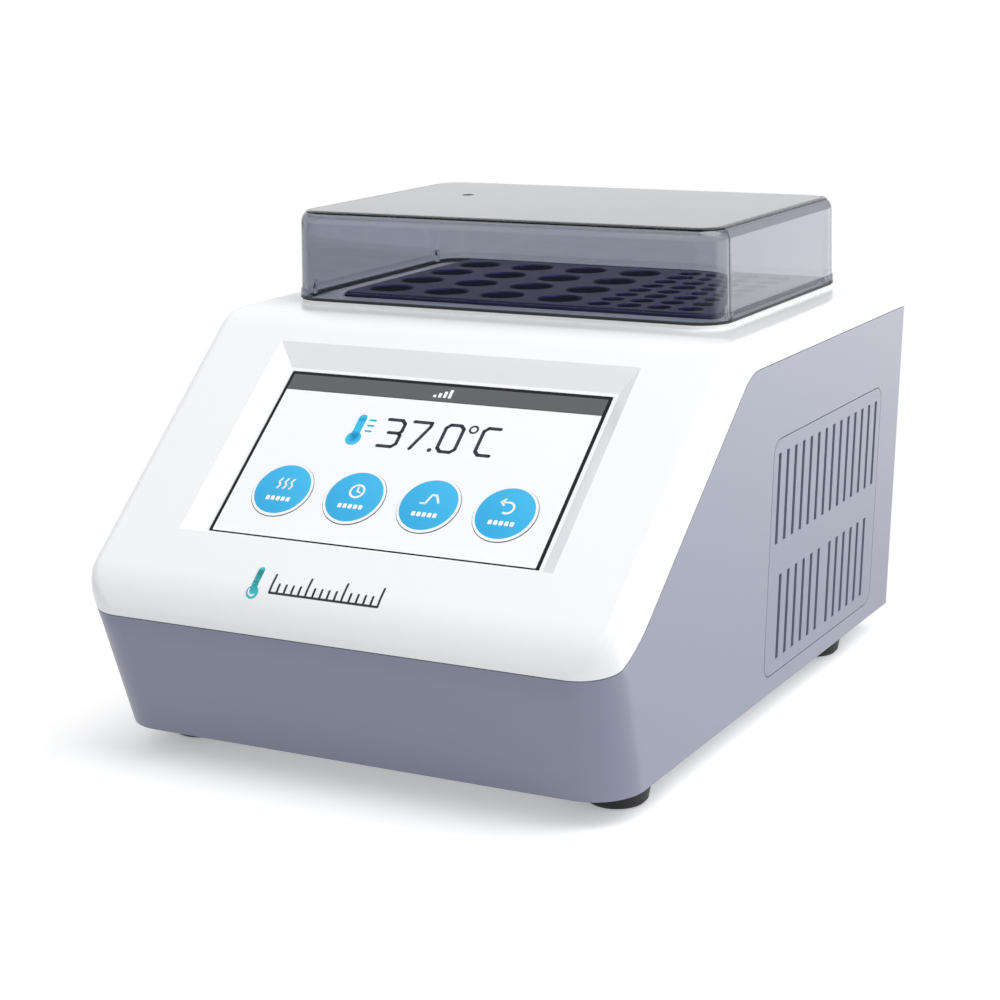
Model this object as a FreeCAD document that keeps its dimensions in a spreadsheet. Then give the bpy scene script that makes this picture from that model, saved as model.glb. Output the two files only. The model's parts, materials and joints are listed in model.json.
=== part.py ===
import FreeCAD, Part
import math
import os
import re
import Sketcher
from types import SimpleNamespace

# Dry bath incubator with a touch screen, a lift-off clear lid and a drilled heating block.
# Frame: millimetres, +Z up, -Y is the front with the screen, +X is the right side seen from the front.
# The origin lies under the middle of the feet, on the bench.

V = FreeCAD.Vector
Rotation = FreeCAD.Rotation
Placement = FreeCAD.Placement

doc = FreeCAD.newDocument("dry_bath_incubator")
sheet = doc.addObject("Spreadsheet::Sheet", "Sizes")

# Driving dimensions in millimetres and degrees.
SIZES = {
    # Housing outline, seen from the side
    "overall_depth": 336.0,
    "half_width": 121.0,
    "side_draft": 2.1,
    "deck_height": 178.5,
    "nose_radius": 28.0,
    "nose_height": 66.0,
    "undercut_angle": 18.8,
    "slope_angle": 39.0,
    "bend_radius": 26.0,
    "front_corner_radius": 21.5,
    "edge_radius": 6.0,
    "least_radius": 0.8,
    "wall": 3.0,
    # Seam between the white cover and the grey base
    "seam_gap": 0.35,
    "seam_front_height": 66.5,
    "seam_corner_back": 19.7,
    "seam_low_radius": 65.0,
    "seam_rise_angle": 40.0,
    "seam_high_radius": 24.0,
    "seam_drop": 14.9,
    # Feet
    "foot_height": 12.0,
    "foot_top_radius": 15.0,
    "foot_bottom_radius": 13.0,
    "foot_chamfer": 1.5,
    "foot_recess_radius": 4.5,
    "foot_recess_depth": 8.0,
    "foot_side_inset": 19.5,
    "foot_end_inset": 55.0,
    # Screws
    "screw_radius": 2.0,
    "screw_clearance": 0.25,
    "screw_head_radius": 3.6,
    "screw_head_height": 2.4,
    "nut_radius": 3.9,
    "nut_height": 3.0,
    # Floor plate, rear panel and the ledge that carries them
    "floor_thickness": 2.0,
    "fit_gap": 0.3,
    "ledge_width": 8.0,
    "ledge_thickness": 2.5,
    "rear_recess": 5.2,
    "rear_thickness": 1.6,
    # Screen and its bevelled recess, in the plane of the slope
    "screen_width": 154.0,
    "screen_height": 87.7,
    "screen_up_slope": 69.8,
    "glass_border": 1.2,
    "glass_thickness": 1.8,
    "glass_fit": 0.2,
    "glass_seat": 3.0,
    "recess_depth": 5.6,
    "recess_ledge": 2.0,
    "recess_bevel_side": 7.8,
    "recess_bevel_low": 2.5,
    "recess_bevel_high": 10.4,
    "tub_rim": 6.0,
    "tub_depth": 9.0,
    "module_thickness": 6.0,
    "module_margin": 1.5,
    "board_thickness": 1.6,
    "display_post_length": 9.0,
    "display_post_radius": 3.0,
    # Heating block and its wells
    "block_half_width": 94.0,
    "block_length": 125.4,
    "block_back_gap": 42.4,
    "block_x": 2.4,
    "block_height": 42.0,
    "block_rise": 1.8,
    "block_corner": 4.0,
    "block_chamfer": 0.6,
    "large_well_radius": 10.3,
    "large_well_pitch": 29.4,
    "large_well_centre": -33.5,
    "large_well_count": 4,
    "small_well_radius": 5.35,
    "small_well_pitch": 14.7,
    "small_well_centre": 55.75,
    "small_well_columns": 4,
    "small_well_rows": 8,
    "well_depth": 36.0,
    "block_seat_gap": 0.1,
    "block_gap": 0.8,
    "pin_radius": 2.5,
    "pin_height": 4.0,
    "pin_fit": 0.3,
    # Lid, its gasket and the raised collar under it
    "lid_side_margin": 13.0,
    "lid_front_margin": 21.2,
    "lid_back_margin": 4.1,
    "lid_height": 40.3,
    "lid_wall": 2.5,
    "lid_draft": 1.1,
    "lid_corner": 14.5,
    "lid_top_round": 5.5,
    "lid_lip_height": 4.0,
    "lid_lip_width": 0.5,
    "lid_vent_radius": 2.9,
    "lid_vent_x": -61.8,
    "lid_vent_back_gap": 98.0,
    "collar_height": 1.5,
    "gasket_height": 0.5,
    "lid_seat_gap": 0.1,
    # Heater under the block
    "heater_plate_thickness": 10.0,
    "heater_mat_thickness": 2.0,
    "liner_wall": 1.2,
    "insulation_thickness": 9.0,
    "insulation_top_gap": 2.0,
    "tray_thickness": 1.5,
    "tray_rim": 8.0,
    "tray_post_radius": 4.0,
    "sensor_radius": 2.0,
    "sensor_length": 40.0,
    "sensor_x": 10.0,
    "cutout_radius": 8.0,
    "cutout_height": 6.0,
    "cutout_x": 30.0,
    # Slotted panels in the cheeks
    "vent_back_gap": 27.7,
    "vent_length": 141.9,
    "vent_low": 20.5,
    "vent_high": 128.5,
    "vent_corner": 7.0,
    "vent_groove": 0.4,
    "vent_lap": 3.5,
    "vent_lap_thickness": 1.5,
    "slot_width": 3.2,
    "slot_pitch": 9.8,
    "upper_slot_count": 14,
    "upper_slot_low": 81.2,
    "upper_slot_high": 122.2,
    "lower_slot_count": 6,
    "lower_slot_low": 26.7,
    "lower_slot_high": 65.9,
    "lower_slot_split": 14.5,
    # Posts that hold the cover down
    "post_radius": 4.5,
    "post_side_inset": 19.0,
    "front_post_inset": 88.0,
    "rear_post_inset": 18.0,
    "post_bore": 12.0,
    # Cooling fan
    "fan_size": 60.0,
    "fan_depth": 20.0,
    "fan_bore_radius": 28.0,
    "fan_hub_radius": 14.0,
    "fan_tip_gap": 0.8,
    "fan_side_gap": 1.5,
    "fan_shaft_radius": 2.5,
    "fan_corner": 3.0,
    "fan_strut": 3.0,
    "blade_thickness": 1.4,
    "blade_angle": 32.0,
    "fan_blades": 7,
    "fan_x": -58.0,
    "fan_z": 100.0,
    "fan_screw_pitch": 50.0,
    "guard_thickness": 1.6,
    "guard_ring_width": 2.0,
    "guard_bar_width": 3.0,
    # Mains inlet, switch and fuse drawer
    "inlet_x": 72.0,
    "inlet_z": 46.0,
    "inlet_flange_width": 31.0,
    "inlet_flange_height": 50.0,
    "inlet_flange_thickness": 2.2,
    "inlet_body_width": 27.0,
    "inlet_body_height": 43.0,
    "inlet_body_depth": 30.0,
    "socket_width": 24.4,
    "socket_height": 16.6,
    "socket_depth": 17.0,
    "socket_rise": 8.0,
    "drawer_width": 22.0,
    "drawer_height": 7.6,
    "drawer_depth": 24.0,
    "drawer_fit": 0.3,
    "drawer_drop": 13.5,
    "fuse_radius": 2.5,
    "fuse_length": 20.0,
    "drawer_lip": 1.5,
    "inlet_corner": 3.0,
    "contact_spacing": 14.0,
    "contact_length": 11.0,
    "switch_z": 92.0,
    "switch_bezel": 2.0,
    "switch_wall": 2.0,
    "rocker_width": 12.0,
    "rocker_radius": 7.6,
    "rocker_ridge": 6.2,
    "rocker_sink": 3.0,
    "rocker_tilt": 9.0,
    "rocker_fit": 0.35,
    "pivot_radius": 1.5,
    # Circuit boards on the floor plate
    "board_post_height": 8.0,
    "board_post_radius": 3.0,
    "supply_board_x": -52.0,
    "supply_board_rear_gap": 116.0,
    "supply_board_width": 82.0,
    "supply_board_length": 130.0,
    "control_board_x": 36.0,
    "control_board_front_gap": 146.0,
    "control_board_width": 84.0,
    "control_board_length": 110.0,
    "board_hole_inset": 6.0,
    "transformer_width": 42.0,
    "transformer_length": 48.0,
    "transformer_height": 36.0,
    "capacitor_radius": 9.0,
    "capacitor_height": 30.0,
    "heat_sink_width": 60.0,
    "heat_sink_depth": 26.0,
    "heat_sink_height": 40.0,
    "heat_sink_fins": 7,
    "fin_thickness": 1.8,
    "triac_width": 10.0,
    "triac_depth": 4.5,
    "triac_height": 20.0,
    "triac_spacing": 28.0,
    "screw_bevel": 0.8,
}

for row, (alias, value) in enumerate(SIZES.items(), 1):
    sheet.set("A%d" % row, alias)
    sheet.set("B%d" % row, str(value))
    sheet.setAlias("B%d" % row, alias)
doc.recompute()

s = SimpleNamespace(**{alias: float(sheet.get(alias)) for alias in SIZES})


# Helpers for bound sketches and features

def formula(text):
    """Point every size name in an expression at the spreadsheet."""
    def cell(match):
        word = match.group()
        return "Sizes." + word if word in SIZES else word
    return re.sub(r"[a-z]\w*", cell, text)


def bind(item, prop, text):
    """Bind one property of a document object to an expression of the sizes."""
    item.setExpression(prop, formula(text))


def new_body(name):
    """Make an empty body that a feature history is built in."""
    return doc.addObject("PartDesign::Body", name)


def new_sketch(body, name, role="XY_Plane", offset=None):
    """Attach a sketch to one of the body's own planes, raised along its normal by an offset."""
    sketch = body.newObject("Sketcher::SketchObject", name)
    plane = [item for item in body.Origin.OriginFeatures if item.Role == role][0]
    sketch.AttachmentSupport = [(plane, "")]
    sketch.MapMode = "FlatFace"
    if offset:
        bind(sketch, "AttachmentOffset.Base.z", offset)
    doc.recompute()
    return sketch


def dimension(sketch, text, *constraint):
    """Add a constraint whose value follows an expression."""
    index = sketch.addConstraint(Sketcher.Constraint(*constraint))
    bind(sketch, "Constraints[%d]" % index, text)


def add_polygon(sketch, points):
    """Draw a closed outline with every corner placed by a pair of expressions."""
    first = sketch.GeometryCount
    reach = s.half_width / 3
    count = len(points)
    for k in range(count):
        turn, after = 2 * math.pi * k / count, 2 * math.pi * (k + 1) / count
        sketch.addGeometry(Part.LineSegment(V(math.cos(turn), math.sin(turn), 0) * reach,
                                            V(math.cos(after), math.sin(after), 0) * reach), False)
    for k in range(count):
        following = first + (k + 1) % count
        sketch.addConstraint(Sketcher.Constraint("Coincident", first + k, 2, following, 1))
    for k, (across, up) in enumerate(points):
        dimension(sketch, across, "DistanceX", -1, 1, first + k, 1, 1.0)
        dimension(sketch, up, "DistanceY", -1, 1, first + k, 1, 1.0)


def add_rectangle(sketch, left, right, low, high):
    """Draw a rectangle between four expressions."""
    add_polygon(sketch, [(left, low), (right, low), (right, high), (left, high)])


def add_circle(sketch, across, up, radius):
    """Draw a circle whose centre and radius are expressions."""
    index = sketch.addGeometry(Part.Circle(V(1, 1, 0), V(0, 0, 1), 5), False)
    dimension(sketch, across, "DistanceX", -1, 1, index, 3, 1.0)
    dimension(sketch, up, "DistanceY", -1, 1, index, 3, 1.0)
    dimension(sketch, radius, "Radius", index, 5.0)


def pad(body, sketch, length, name, taper=None):
    """Extrude a sketch along its normal."""
    feature = body.newObject("PartDesign::Pad", name)
    feature.Profile = sketch
    bind(feature, "Length", length)
    if taper:
        bind(feature, "TaperAngle", taper)
    doc.recompute()
    return feature


def pocket(body, sketch, length, name, against=True):
    """Sink a sketch into the body, against its normal unless told otherwise."""
    feature = body.newObject("PartDesign::Pocket", name)
    feature.Profile = sketch
    bind(feature, "Length", length)
    feature.Reversed = not against
    doc.recompute()
    return feature


def round_edges(body, feature, test, radius, name):
    """Fillet the edges of a feature that pass a test."""
    edges = ["Edge%d" % (k + 1) for k, edge in enumerate(feature.Shape.Edges) if test(edge)]
    fillet = body.newObject("PartDesign::Fillet", name)
    fillet.Base = (feature, edges)
    bind(fillet, "Radius", radius)
    doc.recompute()
    return fillet


def runs_along(direction):
    """Test for edges that lead from end to end along a direction."""
    def test(edge):
        span = edge.Vertexes[-1].Point - edge.Vertexes[0].Point
        return span.Length > 0.01 and abs(span.dot(direction)) > 0.99 * span.Length
    return test


def slab(name, left, right, front, back, low, high, corner=None, taper=None):
    """Upright block with rounded vertical corners, between six expressions."""
    body = new_body(name)
    sketch = new_sketch(body, name + "_outline", "XY_Plane", low)
    add_rectangle(sketch, left, right, front, back)
    feature = pad(body, sketch, "(%s) - (%s)" % (high, low), name + "_pad", taper)
    if corner:
        feature = round_edges(body, feature, runs_along(V(0, 0, 1)), corner, name + "_corners")
    return body


def combine(kind, name, items):
    """Fuse or intersect document objects."""
    result = doc.addObject(kind, name)
    result.Shapes = items
    return result


def fuse(name, *items):
    """Fuse document objects into one shape."""
    return combine("Part::MultiFuse", name, list(items))


def common(name, *items):
    """Keep what document objects share."""
    return combine("Part::MultiCommon", name, list(items))


def cut(name, base, tool):
    """Take one document object out of another."""
    result = doc.addObject("Part::Cut", name)
    result.Base = base
    result.Tool = tool
    return result


def feature(name, shape, placement=None):
    """Hold a shape made by loops as a document object."""
    item = doc.addObject("Part::Feature", name)
    item.Shape = shape
    if placement:
        item.Placement = placement
    return item


parts = {}


def sub_part(item, node):
    """Label a finished piece and list it for writing."""
    item.Label = node
    parts[node] = item
    return item


def cylinder(radius, length, x, y, z, direction=V(0, 0, 1)):
    """Plain cylinder from a point along a direction."""
    return Part.makeCylinder(radius, length, V(x, y, z), direction)


def block(x0, x1, y0, y1, z0, z1):
    """Plain box between two corners."""
    return Part.makeBox(x1 - x0, y1 - y0, z1 - z0, V(x0, y0, z0))


def joined(shapes):
    """Fuse a list of shapes into one solid without leftover seams."""
    whole = shapes[0]
    for shape in shapes[1:]:
        whole = whole.fuse(shape)
    return whole.removeSplitter()


def corners(x, y):
    """The four points that mirror one point across both axes."""
    return [V(side * x, end * y, 0) for side in (-1, 1) for end in (-1, 1)]


# Places worked out from the sizes

half_depth = s.overall_depth / 2
nose_y = -half_depth + s.nose_radius
slope = math.radians(s.slope_angle)
slope_normal = V(0, -math.sin(slope), math.cos(slope))
slope_up = V(0, math.cos(slope), math.sin(slope))
slope_origin = V(0, nose_y, s.nose_height) + slope_normal * s.nose_radius
slope_frame = Placement(slope_origin, Rotation(V(1, 0, 0), s.slope_angle))
floor_top = s.foot_height + s.floor_thickness
deck_underside = s.deck_height - s.wall
rear_face = half_depth - s.rear_recess
rear_inner = rear_face - s.rear_thickness
collar_top = s.deck_height + s.collar_height
lid_bottom = collar_top + s.gasket_height + s.lid_seat_gap
seam_side_height = s.deck_height - s.seam_drop
block_back = half_depth - s.block_back_gap
block_front = block_back - s.block_length
block_middle = (block_front + block_back) / 2
lid_half_width = s.block_half_width + s.lid_side_margin
lid_front = block_front - s.lid_front_margin
lid_back = block_back + s.lid_back_margin
vent_middle = half_depth - s.vent_back_gap - s.vent_length / 2

# The same places as expressions, for sketches that follow the spreadsheet
BLOCK_BACK = "overall_depth / 2 - block_back_gap"
BLOCK_FRONT = BLOCK_BACK + " - block_length"
BLOCK_MIDDLE = BLOCK_BACK + " - block_length / 2"
BLOCK_LEFT = "block_x - block_half_width"
BLOCK_RIGHT = "block_x + block_half_width"
LID_SIDE = "(block_half_width + lid_side_margin)"
LID_FRONT = BLOCK_FRONT + " - lid_front_margin"
LID_BACK = BLOCK_BACK + " + lid_back_margin"


# Housing: one outline serves the outer skin and every inner offset of it

def hull(name, inset, depth, bottom, back):
    """Full housing form, offset inwards by an expression and its depth, down to a level, back to a plane."""
    radius = s.nose_radius - depth
    bend = s.bend_radius - depth
    top = s.deck_height - depth
    undercut = math.radians(90 + s.undercut_angle)
    centre = V(nose_y, s.nose_height, 0)
    lean = V(math.cos(undercut), math.sin(undercut), 0)
    rise = V(math.cos(slope), math.sin(slope), 0)
    normal = V(-math.sin(slope), math.cos(slope), 0)
    low_tangent = centre + V(-lean.y, lean.x, 0) * radius
    foot = low_tangent - lean * ((low_tangent.y - s.foot_height) / lean.y)
    high_tangent = centre + normal * radius
    bend_start_height = top - bend + bend * math.cos(slope)
    bend_start = high_tangent + rise * ((bend_start_height - high_tangent.y) / rise.y)
    bend_centre = bend_start - normal * bend
    bend_end = V(bend_centre.x, top, 0)
    rear_top = V(half_depth, top, 0)
    rear_low = V(half_depth, s.foot_height, 0)

    def arc(middle, size, start, end):
        first = math.atan2(start.y - middle.y, start.x - middle.x)
        last = math.atan2(end.y - middle.y, end.x - middle.x)
        return Part.ArcOfCircle(Part.Circle(middle, V(0, 0, 1), size), last,
                                first if first > last else first + 2 * math.pi)

    body = new_body(name)
    profile = new_sketch(body, name + "_profile", "YZ_Plane")
    for piece in (Part.LineSegment(foot, low_tangent), arc(centre, radius, low_tangent, high_tangent),
                  Part.LineSegment(high_tangent, bend_start), arc(bend_centre, bend, bend_start, bend_end),
                  Part.LineSegment(bend_end, rear_top), Part.LineSegment(rear_top, rear_low),
                  Part.LineSegment(rear_low, foot)):
        profile.addGeometry(piece, False)
    undercut_line, nose, slope_line, bend_arc, deck, rear, base = range(7)
    for relation in (("Tangent", undercut_line, 2, nose, 2), ("Tangent", nose, 1, slope_line, 1),
                     ("Tangent", slope_line, 2, bend_arc, 2), ("Tangent", bend_arc, 1, deck, 1),
                     ("Coincident", deck, 2, rear, 1), ("Coincident", rear, 2, base, 1),
                     ("Coincident", base, 2, undercut_line, 1), ("Horizontal", deck),
                     ("Vertical", rear), ("Horizontal", base)):
        profile.addConstraint(Sketcher.Constraint(*relation))
    dimension(profile, "nose_radius - (%s)" % inset, "Radius", nose, radius)
    dimension(profile, "bend_radius - (%s)" % inset, "Radius", bend_arc, bend)
    dimension(profile, "nose_radius - overall_depth / 2", "DistanceX", -1, 1, nose, 3, nose_y)
    dimension(profile, "nose_height", "DistanceY", -1, 1, nose, 3, s.nose_height)
    dimension(profile, "(90 + undercut_angle) * 1deg", "Angle", undercut_line, undercut)
    dimension(profile, "slope_angle * 1deg", "Angle", slope_line, slope)
    dimension(profile, bottom, "DistanceY", -1, 1, undercut_line, 1, s.foot_height)
    dimension(profile, "deck_height - (%s)" % inset, "DistanceY", -1, 1, deck, 2, top)
    dimension(profile, back, "DistanceX", -1, 1, rear, 1, half_depth)
    doc.recompute()
    solid = body.newObject("PartDesign::Pad", name + "_pad")
    solid.Profile = profile
    solid.Midplane = True
    bind(solid, "Length", "2 * half_width + 60")
    doc.recompute()

    sides = new_sketch(body, name + "_sides", "XZ_Plane")
    inner = "half_width - (%s) / cos(side_draft * 1deg)" % inset
    low, high = "foot_height - 20", "deck_height + 20"
    at_low = "%s - 20 * tan(side_draft * 1deg)" % inner
    at_high = "%s + (deck_height + 20 - foot_height) * tan(side_draft * 1deg)" % inner
    for sign in ("", "-"):
        add_polygon(sides, [(sign + "(%s)" % across, up) for across, up in
                            ((at_low, low), ("half_width + 80", low), ("half_width + 80", high),
                             (at_high, high))])
    doc.recompute()
    trimmed = body.newObject("PartDesign::Pocket", name + "_draft")
    trimmed.Profile = sides
    trimmed.Midplane = True
    trimmed.Type = 1
    doc.recompute()

    reach = s.half_width * 0.8

    def long_edge(edge):
        box = edge.BoundBox
        one_side = box.XMin * box.XMax > 0 and min(abs(box.XMin), abs(box.XMax)) > reach
        on_rear = box.YLength < 0.01 and box.ZLength > 1
        on_base = box.ZLength < 0.01 and box.ZMax < s.foot_height + 1
        return one_side and not on_rear and not on_base

    rounded = doc.addObject("Part::Fillet", name + "_edges")
    rounded.Base = body
    wide = s.front_corner_radius - depth
    tight = max(s.edge_radius - depth, s.least_radius)
    radii = []
    for number, edge in enumerate(trimmed.Shape.Edges, 1):
        if not long_edge(edge):
            continue
        straight = edge.Curve.TypeId == "Part::GeomLine"
        middle = edge.CenterOfMass
        if straight and middle.z < s.nose_height:
            radii.append((number, wide, wide))
        elif not straight and middle.y < nose_y:
            # Round the nose the radius runs from the wide one below to the tight one above
            rising = edge.Vertexes[0].Point.z < edge.Vertexes[-1].Point.z
            radii.append((number, tight, wide) if rising else (number, wide, tight))
        else:
            radii.append((number, tight, tight))
    rounded.Edges = radii
    return rounded


LEVEL, REAR = "foot_height", "overall_depth / 2"
BELOW, BEHIND = "foot_height - 10", "overall_depth / 2 + 10"
housing_outside = hull("housing_outside", "0", 0.0, LEVEL, REAR)
housing_middle = hull("housing_middle", "wall / 2", s.wall / 2, LEVEL, REAR)
housing_inside = hull("housing_inside", "wall", s.wall, BELOW, BEHIND)
housing_fit = hull("housing_fit", "wall + fit_gap", s.wall + s.fit_gap, BELOW, BEHIND)
housing_lap = hull("housing_lap", "wall + vent_lap_thickness", s.wall + s.vent_lap_thickness, BELOW, BEHIND)
housing_ledge = hull("housing_ledge", "wall + ledge_width", s.wall + s.ledge_width, BELOW, BEHIND)
doc.recompute()


def seam_side(name):
    """Everything above the seam that runs along the front, up the cheek and back under the deck."""
    rise = math.radians(s.seam_rise_angle)
    front, back = -half_depth - 40, half_depth + 40
    corner = V(nose_y + s.seam_corner_back - s.nose_radius, s.seam_front_height, 0)
    slope_end = (seam_side_height - s.seam_front_height) / math.tan(rise)
    upper = V(corner.x + slope_end, seam_side_height, 0)
    low_reach = s.seam_low_radius * math.tan(rise / 2)
    high_reach = s.seam_high_radius * math.tan(rise / 2)
    along = V(math.cos(rise), math.sin(rise), 0)
    middle_turn = rise / 2
    low_centre = corner + V(-low_reach, s.seam_low_radius, 0)
    high_centre = upper + V(high_reach, -s.seam_high_radius, 0)
    low_start, low_end = corner - V(low_reach, 0, 0), corner + along * low_reach
    high_start, high_end = upper - along * high_reach, upper + V(high_reach, 0, 0)
    low_middle = low_centre + V(math.sin(middle_turn), -math.cos(middle_turn), 0) * s.seam_low_radius
    high_middle = high_centre + V(-math.sin(middle_turn), math.cos(middle_turn), 0) * s.seam_high_radius
    ceiling = s.deck_height + 40
    reach = s.half_width + 40

    def place(point):
        return V(-reach, point.x, point.y)

    outline = [Part.LineSegment(place(V(front, s.seam_front_height, 0)), place(low_start)),
               Part.Arc(place(low_start), place(low_middle), place(low_end)),
               Part.LineSegment(place(low_end), place(high_start)),
               Part.Arc(place(high_start), place(high_middle), place(high_end)),
               Part.LineSegment(place(high_end), place(V(back, seam_side_height, 0))),
               Part.LineSegment(place(V(back, seam_side_height, 0)), place(V(back, ceiling, 0))),
               Part.LineSegment(place(V(back, ceiling, 0)), place(V(front, ceiling, 0))),
               Part.LineSegment(place(V(front, ceiling, 0)), place(V(front, s.seam_front_height, 0)))]
    face = Part.Face(Part.Wire([piece.toShape() for piece in outline]))
    return feature(name, face.extrude(V(2 * reach, 0, 0)))


above_seam = seam_side("above_seam")
above_gap = seam_side("above_gap")
above_gap.Placement = Placement(V(0, -s.seam_gap, s.seam_gap), Rotation())

shell = cut("shell", housing_outside, housing_inside)

# Ledge inside the open bottom and the open back, which the floor plate and the rear panel sit against
rear_ledge_zone = slab("rear_ledge_zone", "-half_width - 40", "half_width + 40",
                       "overall_depth / 2 - rear_recess - rear_thickness - ledge_thickness",
                       "overall_depth / 2 - rear_recess - rear_thickness",
                       "foot_height + floor_thickness", "deck_height")
floor_ledge_zone = slab("floor_ledge_zone", "-half_width - 40", "half_width + 40",
                        "-overall_depth / 2 - 10", "overall_depth / 2 - rear_recess - rear_thickness",
                        "foot_height + floor_thickness", "foot_height + floor_thickness + ledge_thickness")
ledge_zone = fuse("ledge_zone", rear_ledge_zone, floor_ledge_zone)
ledge_band = cut("ledge_band", housing_middle, housing_ledge)
ledge = common("ledge", ledge_band, ledge_zone)
framed_shell = fuse("framed_shell", shell, ledge)
doc.recompute()

# Cheek openings and the slotted panels that fill them

def cheek_zone(name, side, margin):
    """Block through one cheek with the panel's rounded outline, grown by a margin."""
    body = new_body(name)
    start = "half_width * 0.75" if side > 0 else "-half_width * 1.3"
    sketch = new_sketch(body, name + "_outline", "YZ_Plane", start)
    back = "overall_depth / 2 - vent_back_gap"
    add_rectangle(sketch, "%s - vent_length - (%s)" % (back, margin), "%s + (%s)" % (back, margin),
                  "vent_low - (%s)" % margin, "vent_high + (%s)" % margin)
    solid = pad(body, sketch, "half_width * 0.55", name + "_pad")
    round_edges(body, solid, runs_along(V(1, 0, 0)), "vent_corner + (%s)" % margin, name + "_corners")
    return body


def slot_tools(side):
    """The rows of upright slots in one panel."""
    near = side * s.half_width * 0.75
    far = side * s.half_width * 1.3
    tools = []

    def slot(y, low, high):
        tools.append(block(min(near, far), max(near, far), y - s.slot_width / 2, y + s.slot_width / 2, low,
                           high))

    for k in range(int(s.upper_slot_count)):
        slot(vent_middle + (k - (s.upper_slot_count - 1) / 2) * s.slot_pitch, s.upper_slot_low,
             s.upper_slot_high)
    for end in (-1, 1):
        for k in range(int(s.lower_slot_count)):
            slot(vent_middle + end * (s.lower_slot_split / 2 + k * s.slot_pitch), s.lower_slot_low,
                 s.lower_slot_high)
    return Part.makeCompound(tools)


cheek_openings = []
for side, word in ((-1, "left"), (1, "right")):
    opening = cheek_zone("vent_opening_" + word, side, "vent_groove")
    plate_zone = cheek_zone("vent_plate_zone_" + word, side, "0")
    lap_zone = cheek_zone("vent_lap_zone_" + word, side, "vent_lap")
    plate = common("vent_plate_" + word, cut("vent_skin_" + word, housing_outside, housing_lap), plate_zone)
    lap = common("vent_flange_" + word, cut("vent_backing_" + word, housing_inside, housing_lap), lap_zone)
    whole = fuse("vent_blank_" + word, plate, lap)
    slots = feature("vent_slots_" + word, slot_tools(side))
    sub_part(cut("vent_panel_cut_" + word, whole, slots), "vent_panel_" + word)
    cheek_openings.append(opening)
cheek_tool = fuse("cheek_tool", *cheek_openings)
grey_half = cut("grey_half", framed_shell, above_seam)
vented_half = cut("vented_half", grey_half, cheek_tool)
doc.recompute()

# Screw places on the floor plate and the rear panel

ledge_middle = s.wall + s.fit_gap + s.ledge_width / 2
feet = corners(s.half_width - s.foot_side_inset, half_depth - s.foot_end_inset)
post_x = s.half_width - s.post_side_inset
posts = [V(side * post_x, y, 0) for y in (s.front_post_inset - half_depth, half_depth - s.rear_post_inset)
         for side in (-1, 1)]
draft = math.tan(math.radians(s.side_draft))


def cheek_x(z):
    """Half width of the housing at a level."""
    return s.half_width + (z - s.foot_height) * draft


rear_screw_heights = (s.foot_height + 24, seam_side_height - 26)
rear_screws = [V(side * (cheek_x(z) - ledge_middle), 0, z) for side in (-1, 1) for z in rear_screw_heights]
floor_screw_shares = (-0.36, 0.12, 0.48)
floor_screws = [V(side * (cheek_x(floor_top) - ledge_middle), share * half_depth, 0) for side in (-1, 1)
                for share in floor_screw_shares]
tap = s.screw_radius + s.screw_clearance
ledge_holes = [cylinder(tap, s.ledge_thickness + 2, p.x, p.y, floor_top - 1) for p in floor_screws]
ledge_holes += [cylinder(tap, s.ledge_thickness + 2, p.x, rear_inner - s.ledge_thickness - 1, p.z, V(0, 1, 0))
                for p in rear_screws]
screw_holes = feature("ledge_screw_holes", Part.makeCompound(ledge_holes))
sub_part(cut("base_shell_drilled", vented_half, screw_holes), "base_shell")


def screws_up(places, start, length):
    """Pan-head screws pushed upwards, with their heads under a level."""
    shapes = []
    for p in places:
        head = cylinder(s.screw_head_radius, s.screw_head_height, p.x, p.y, start - s.screw_head_height)
        rim = [edge for edge in head.Edges if edge.BoundBox.ZMax < start - s.screw_head_height + 0.01]
        head = head.makeChamfer(s.screw_bevel, [e for e in rim if e.Curve.TypeId == "Part::GeomCircle"])
        shapes.append(head.fuse(cylinder(s.screw_radius, length, p.x, p.y, start)).removeSplitter())
    return Part.makeCompound(shapes)


# Floor plate, feet and their screws
floor_zone = slab("floor_zone", "-half_width - 20", "half_width + 20", "-overall_depth / 2",
                  "overall_depth / 2 - rear_recess - rear_thickness", "foot_height",
                  "foot_height + floor_thickness")
floor_blank = common("floor_blank", housing_fit, floor_zone)
floor_holes = [cylinder(tap, s.floor_thickness + 2, p.x, p.y, s.foot_height - 1)
               for p in feet + posts + floor_screws]
sub_part(cut("floor_drilled", floor_blank, feature("floor_holes", Part.makeCompound(floor_holes))),
         "base_plate")

for p in feet:
    node = "foot_%s_%s" % ("front" if p.y < 0 else "rear", "left" if p.x < 0 else "right")
    body = new_body(node + "_body")
    profile = new_sketch(body, node + "_profile", "XZ_Plane")
    top, hole, recess = "foot_height", "screw_radius + screw_clearance", "foot_recess_radius"
    add_polygon(profile, [(hole, "foot_recess_depth"), (recess, "foot_recess_depth"), (recess, "0"),
                          ("foot_bottom_radius - foot_chamfer", "0"), ("foot_bottom_radius", "foot_chamfer"),
                          ("foot_top_radius", top), (hole, top)])
    turned = body.newObject("PartDesign::Revolution", node + "_turned")
    turned.Profile = profile
    turned.ReferenceAxis = (profile, ["V_Axis"])
    turned.Angle = 360
    body.Placement = Placement(V(p.x, p.y, 0), Rotation())
    sub_part(body, node)

foot_screw_start = s.foot_recess_depth
foot_screw_length = floor_top + s.nut_height + 1 - foot_screw_start
sub_part(feature("foot_screw_group", screws_up(feet, foot_screw_start, foot_screw_length)), "foot_screws")


def hexagon(radius, height, x, y, z):
    """Upright six-sided prism."""
    ring = [V(x + radius * math.cos(math.pi * k / 3), y + radius * math.sin(math.pi * k / 3), z)
            for k in range(7)]
    return Part.Face(Part.makePolygon(ring)).extrude(V(0, 0, height))


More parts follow.
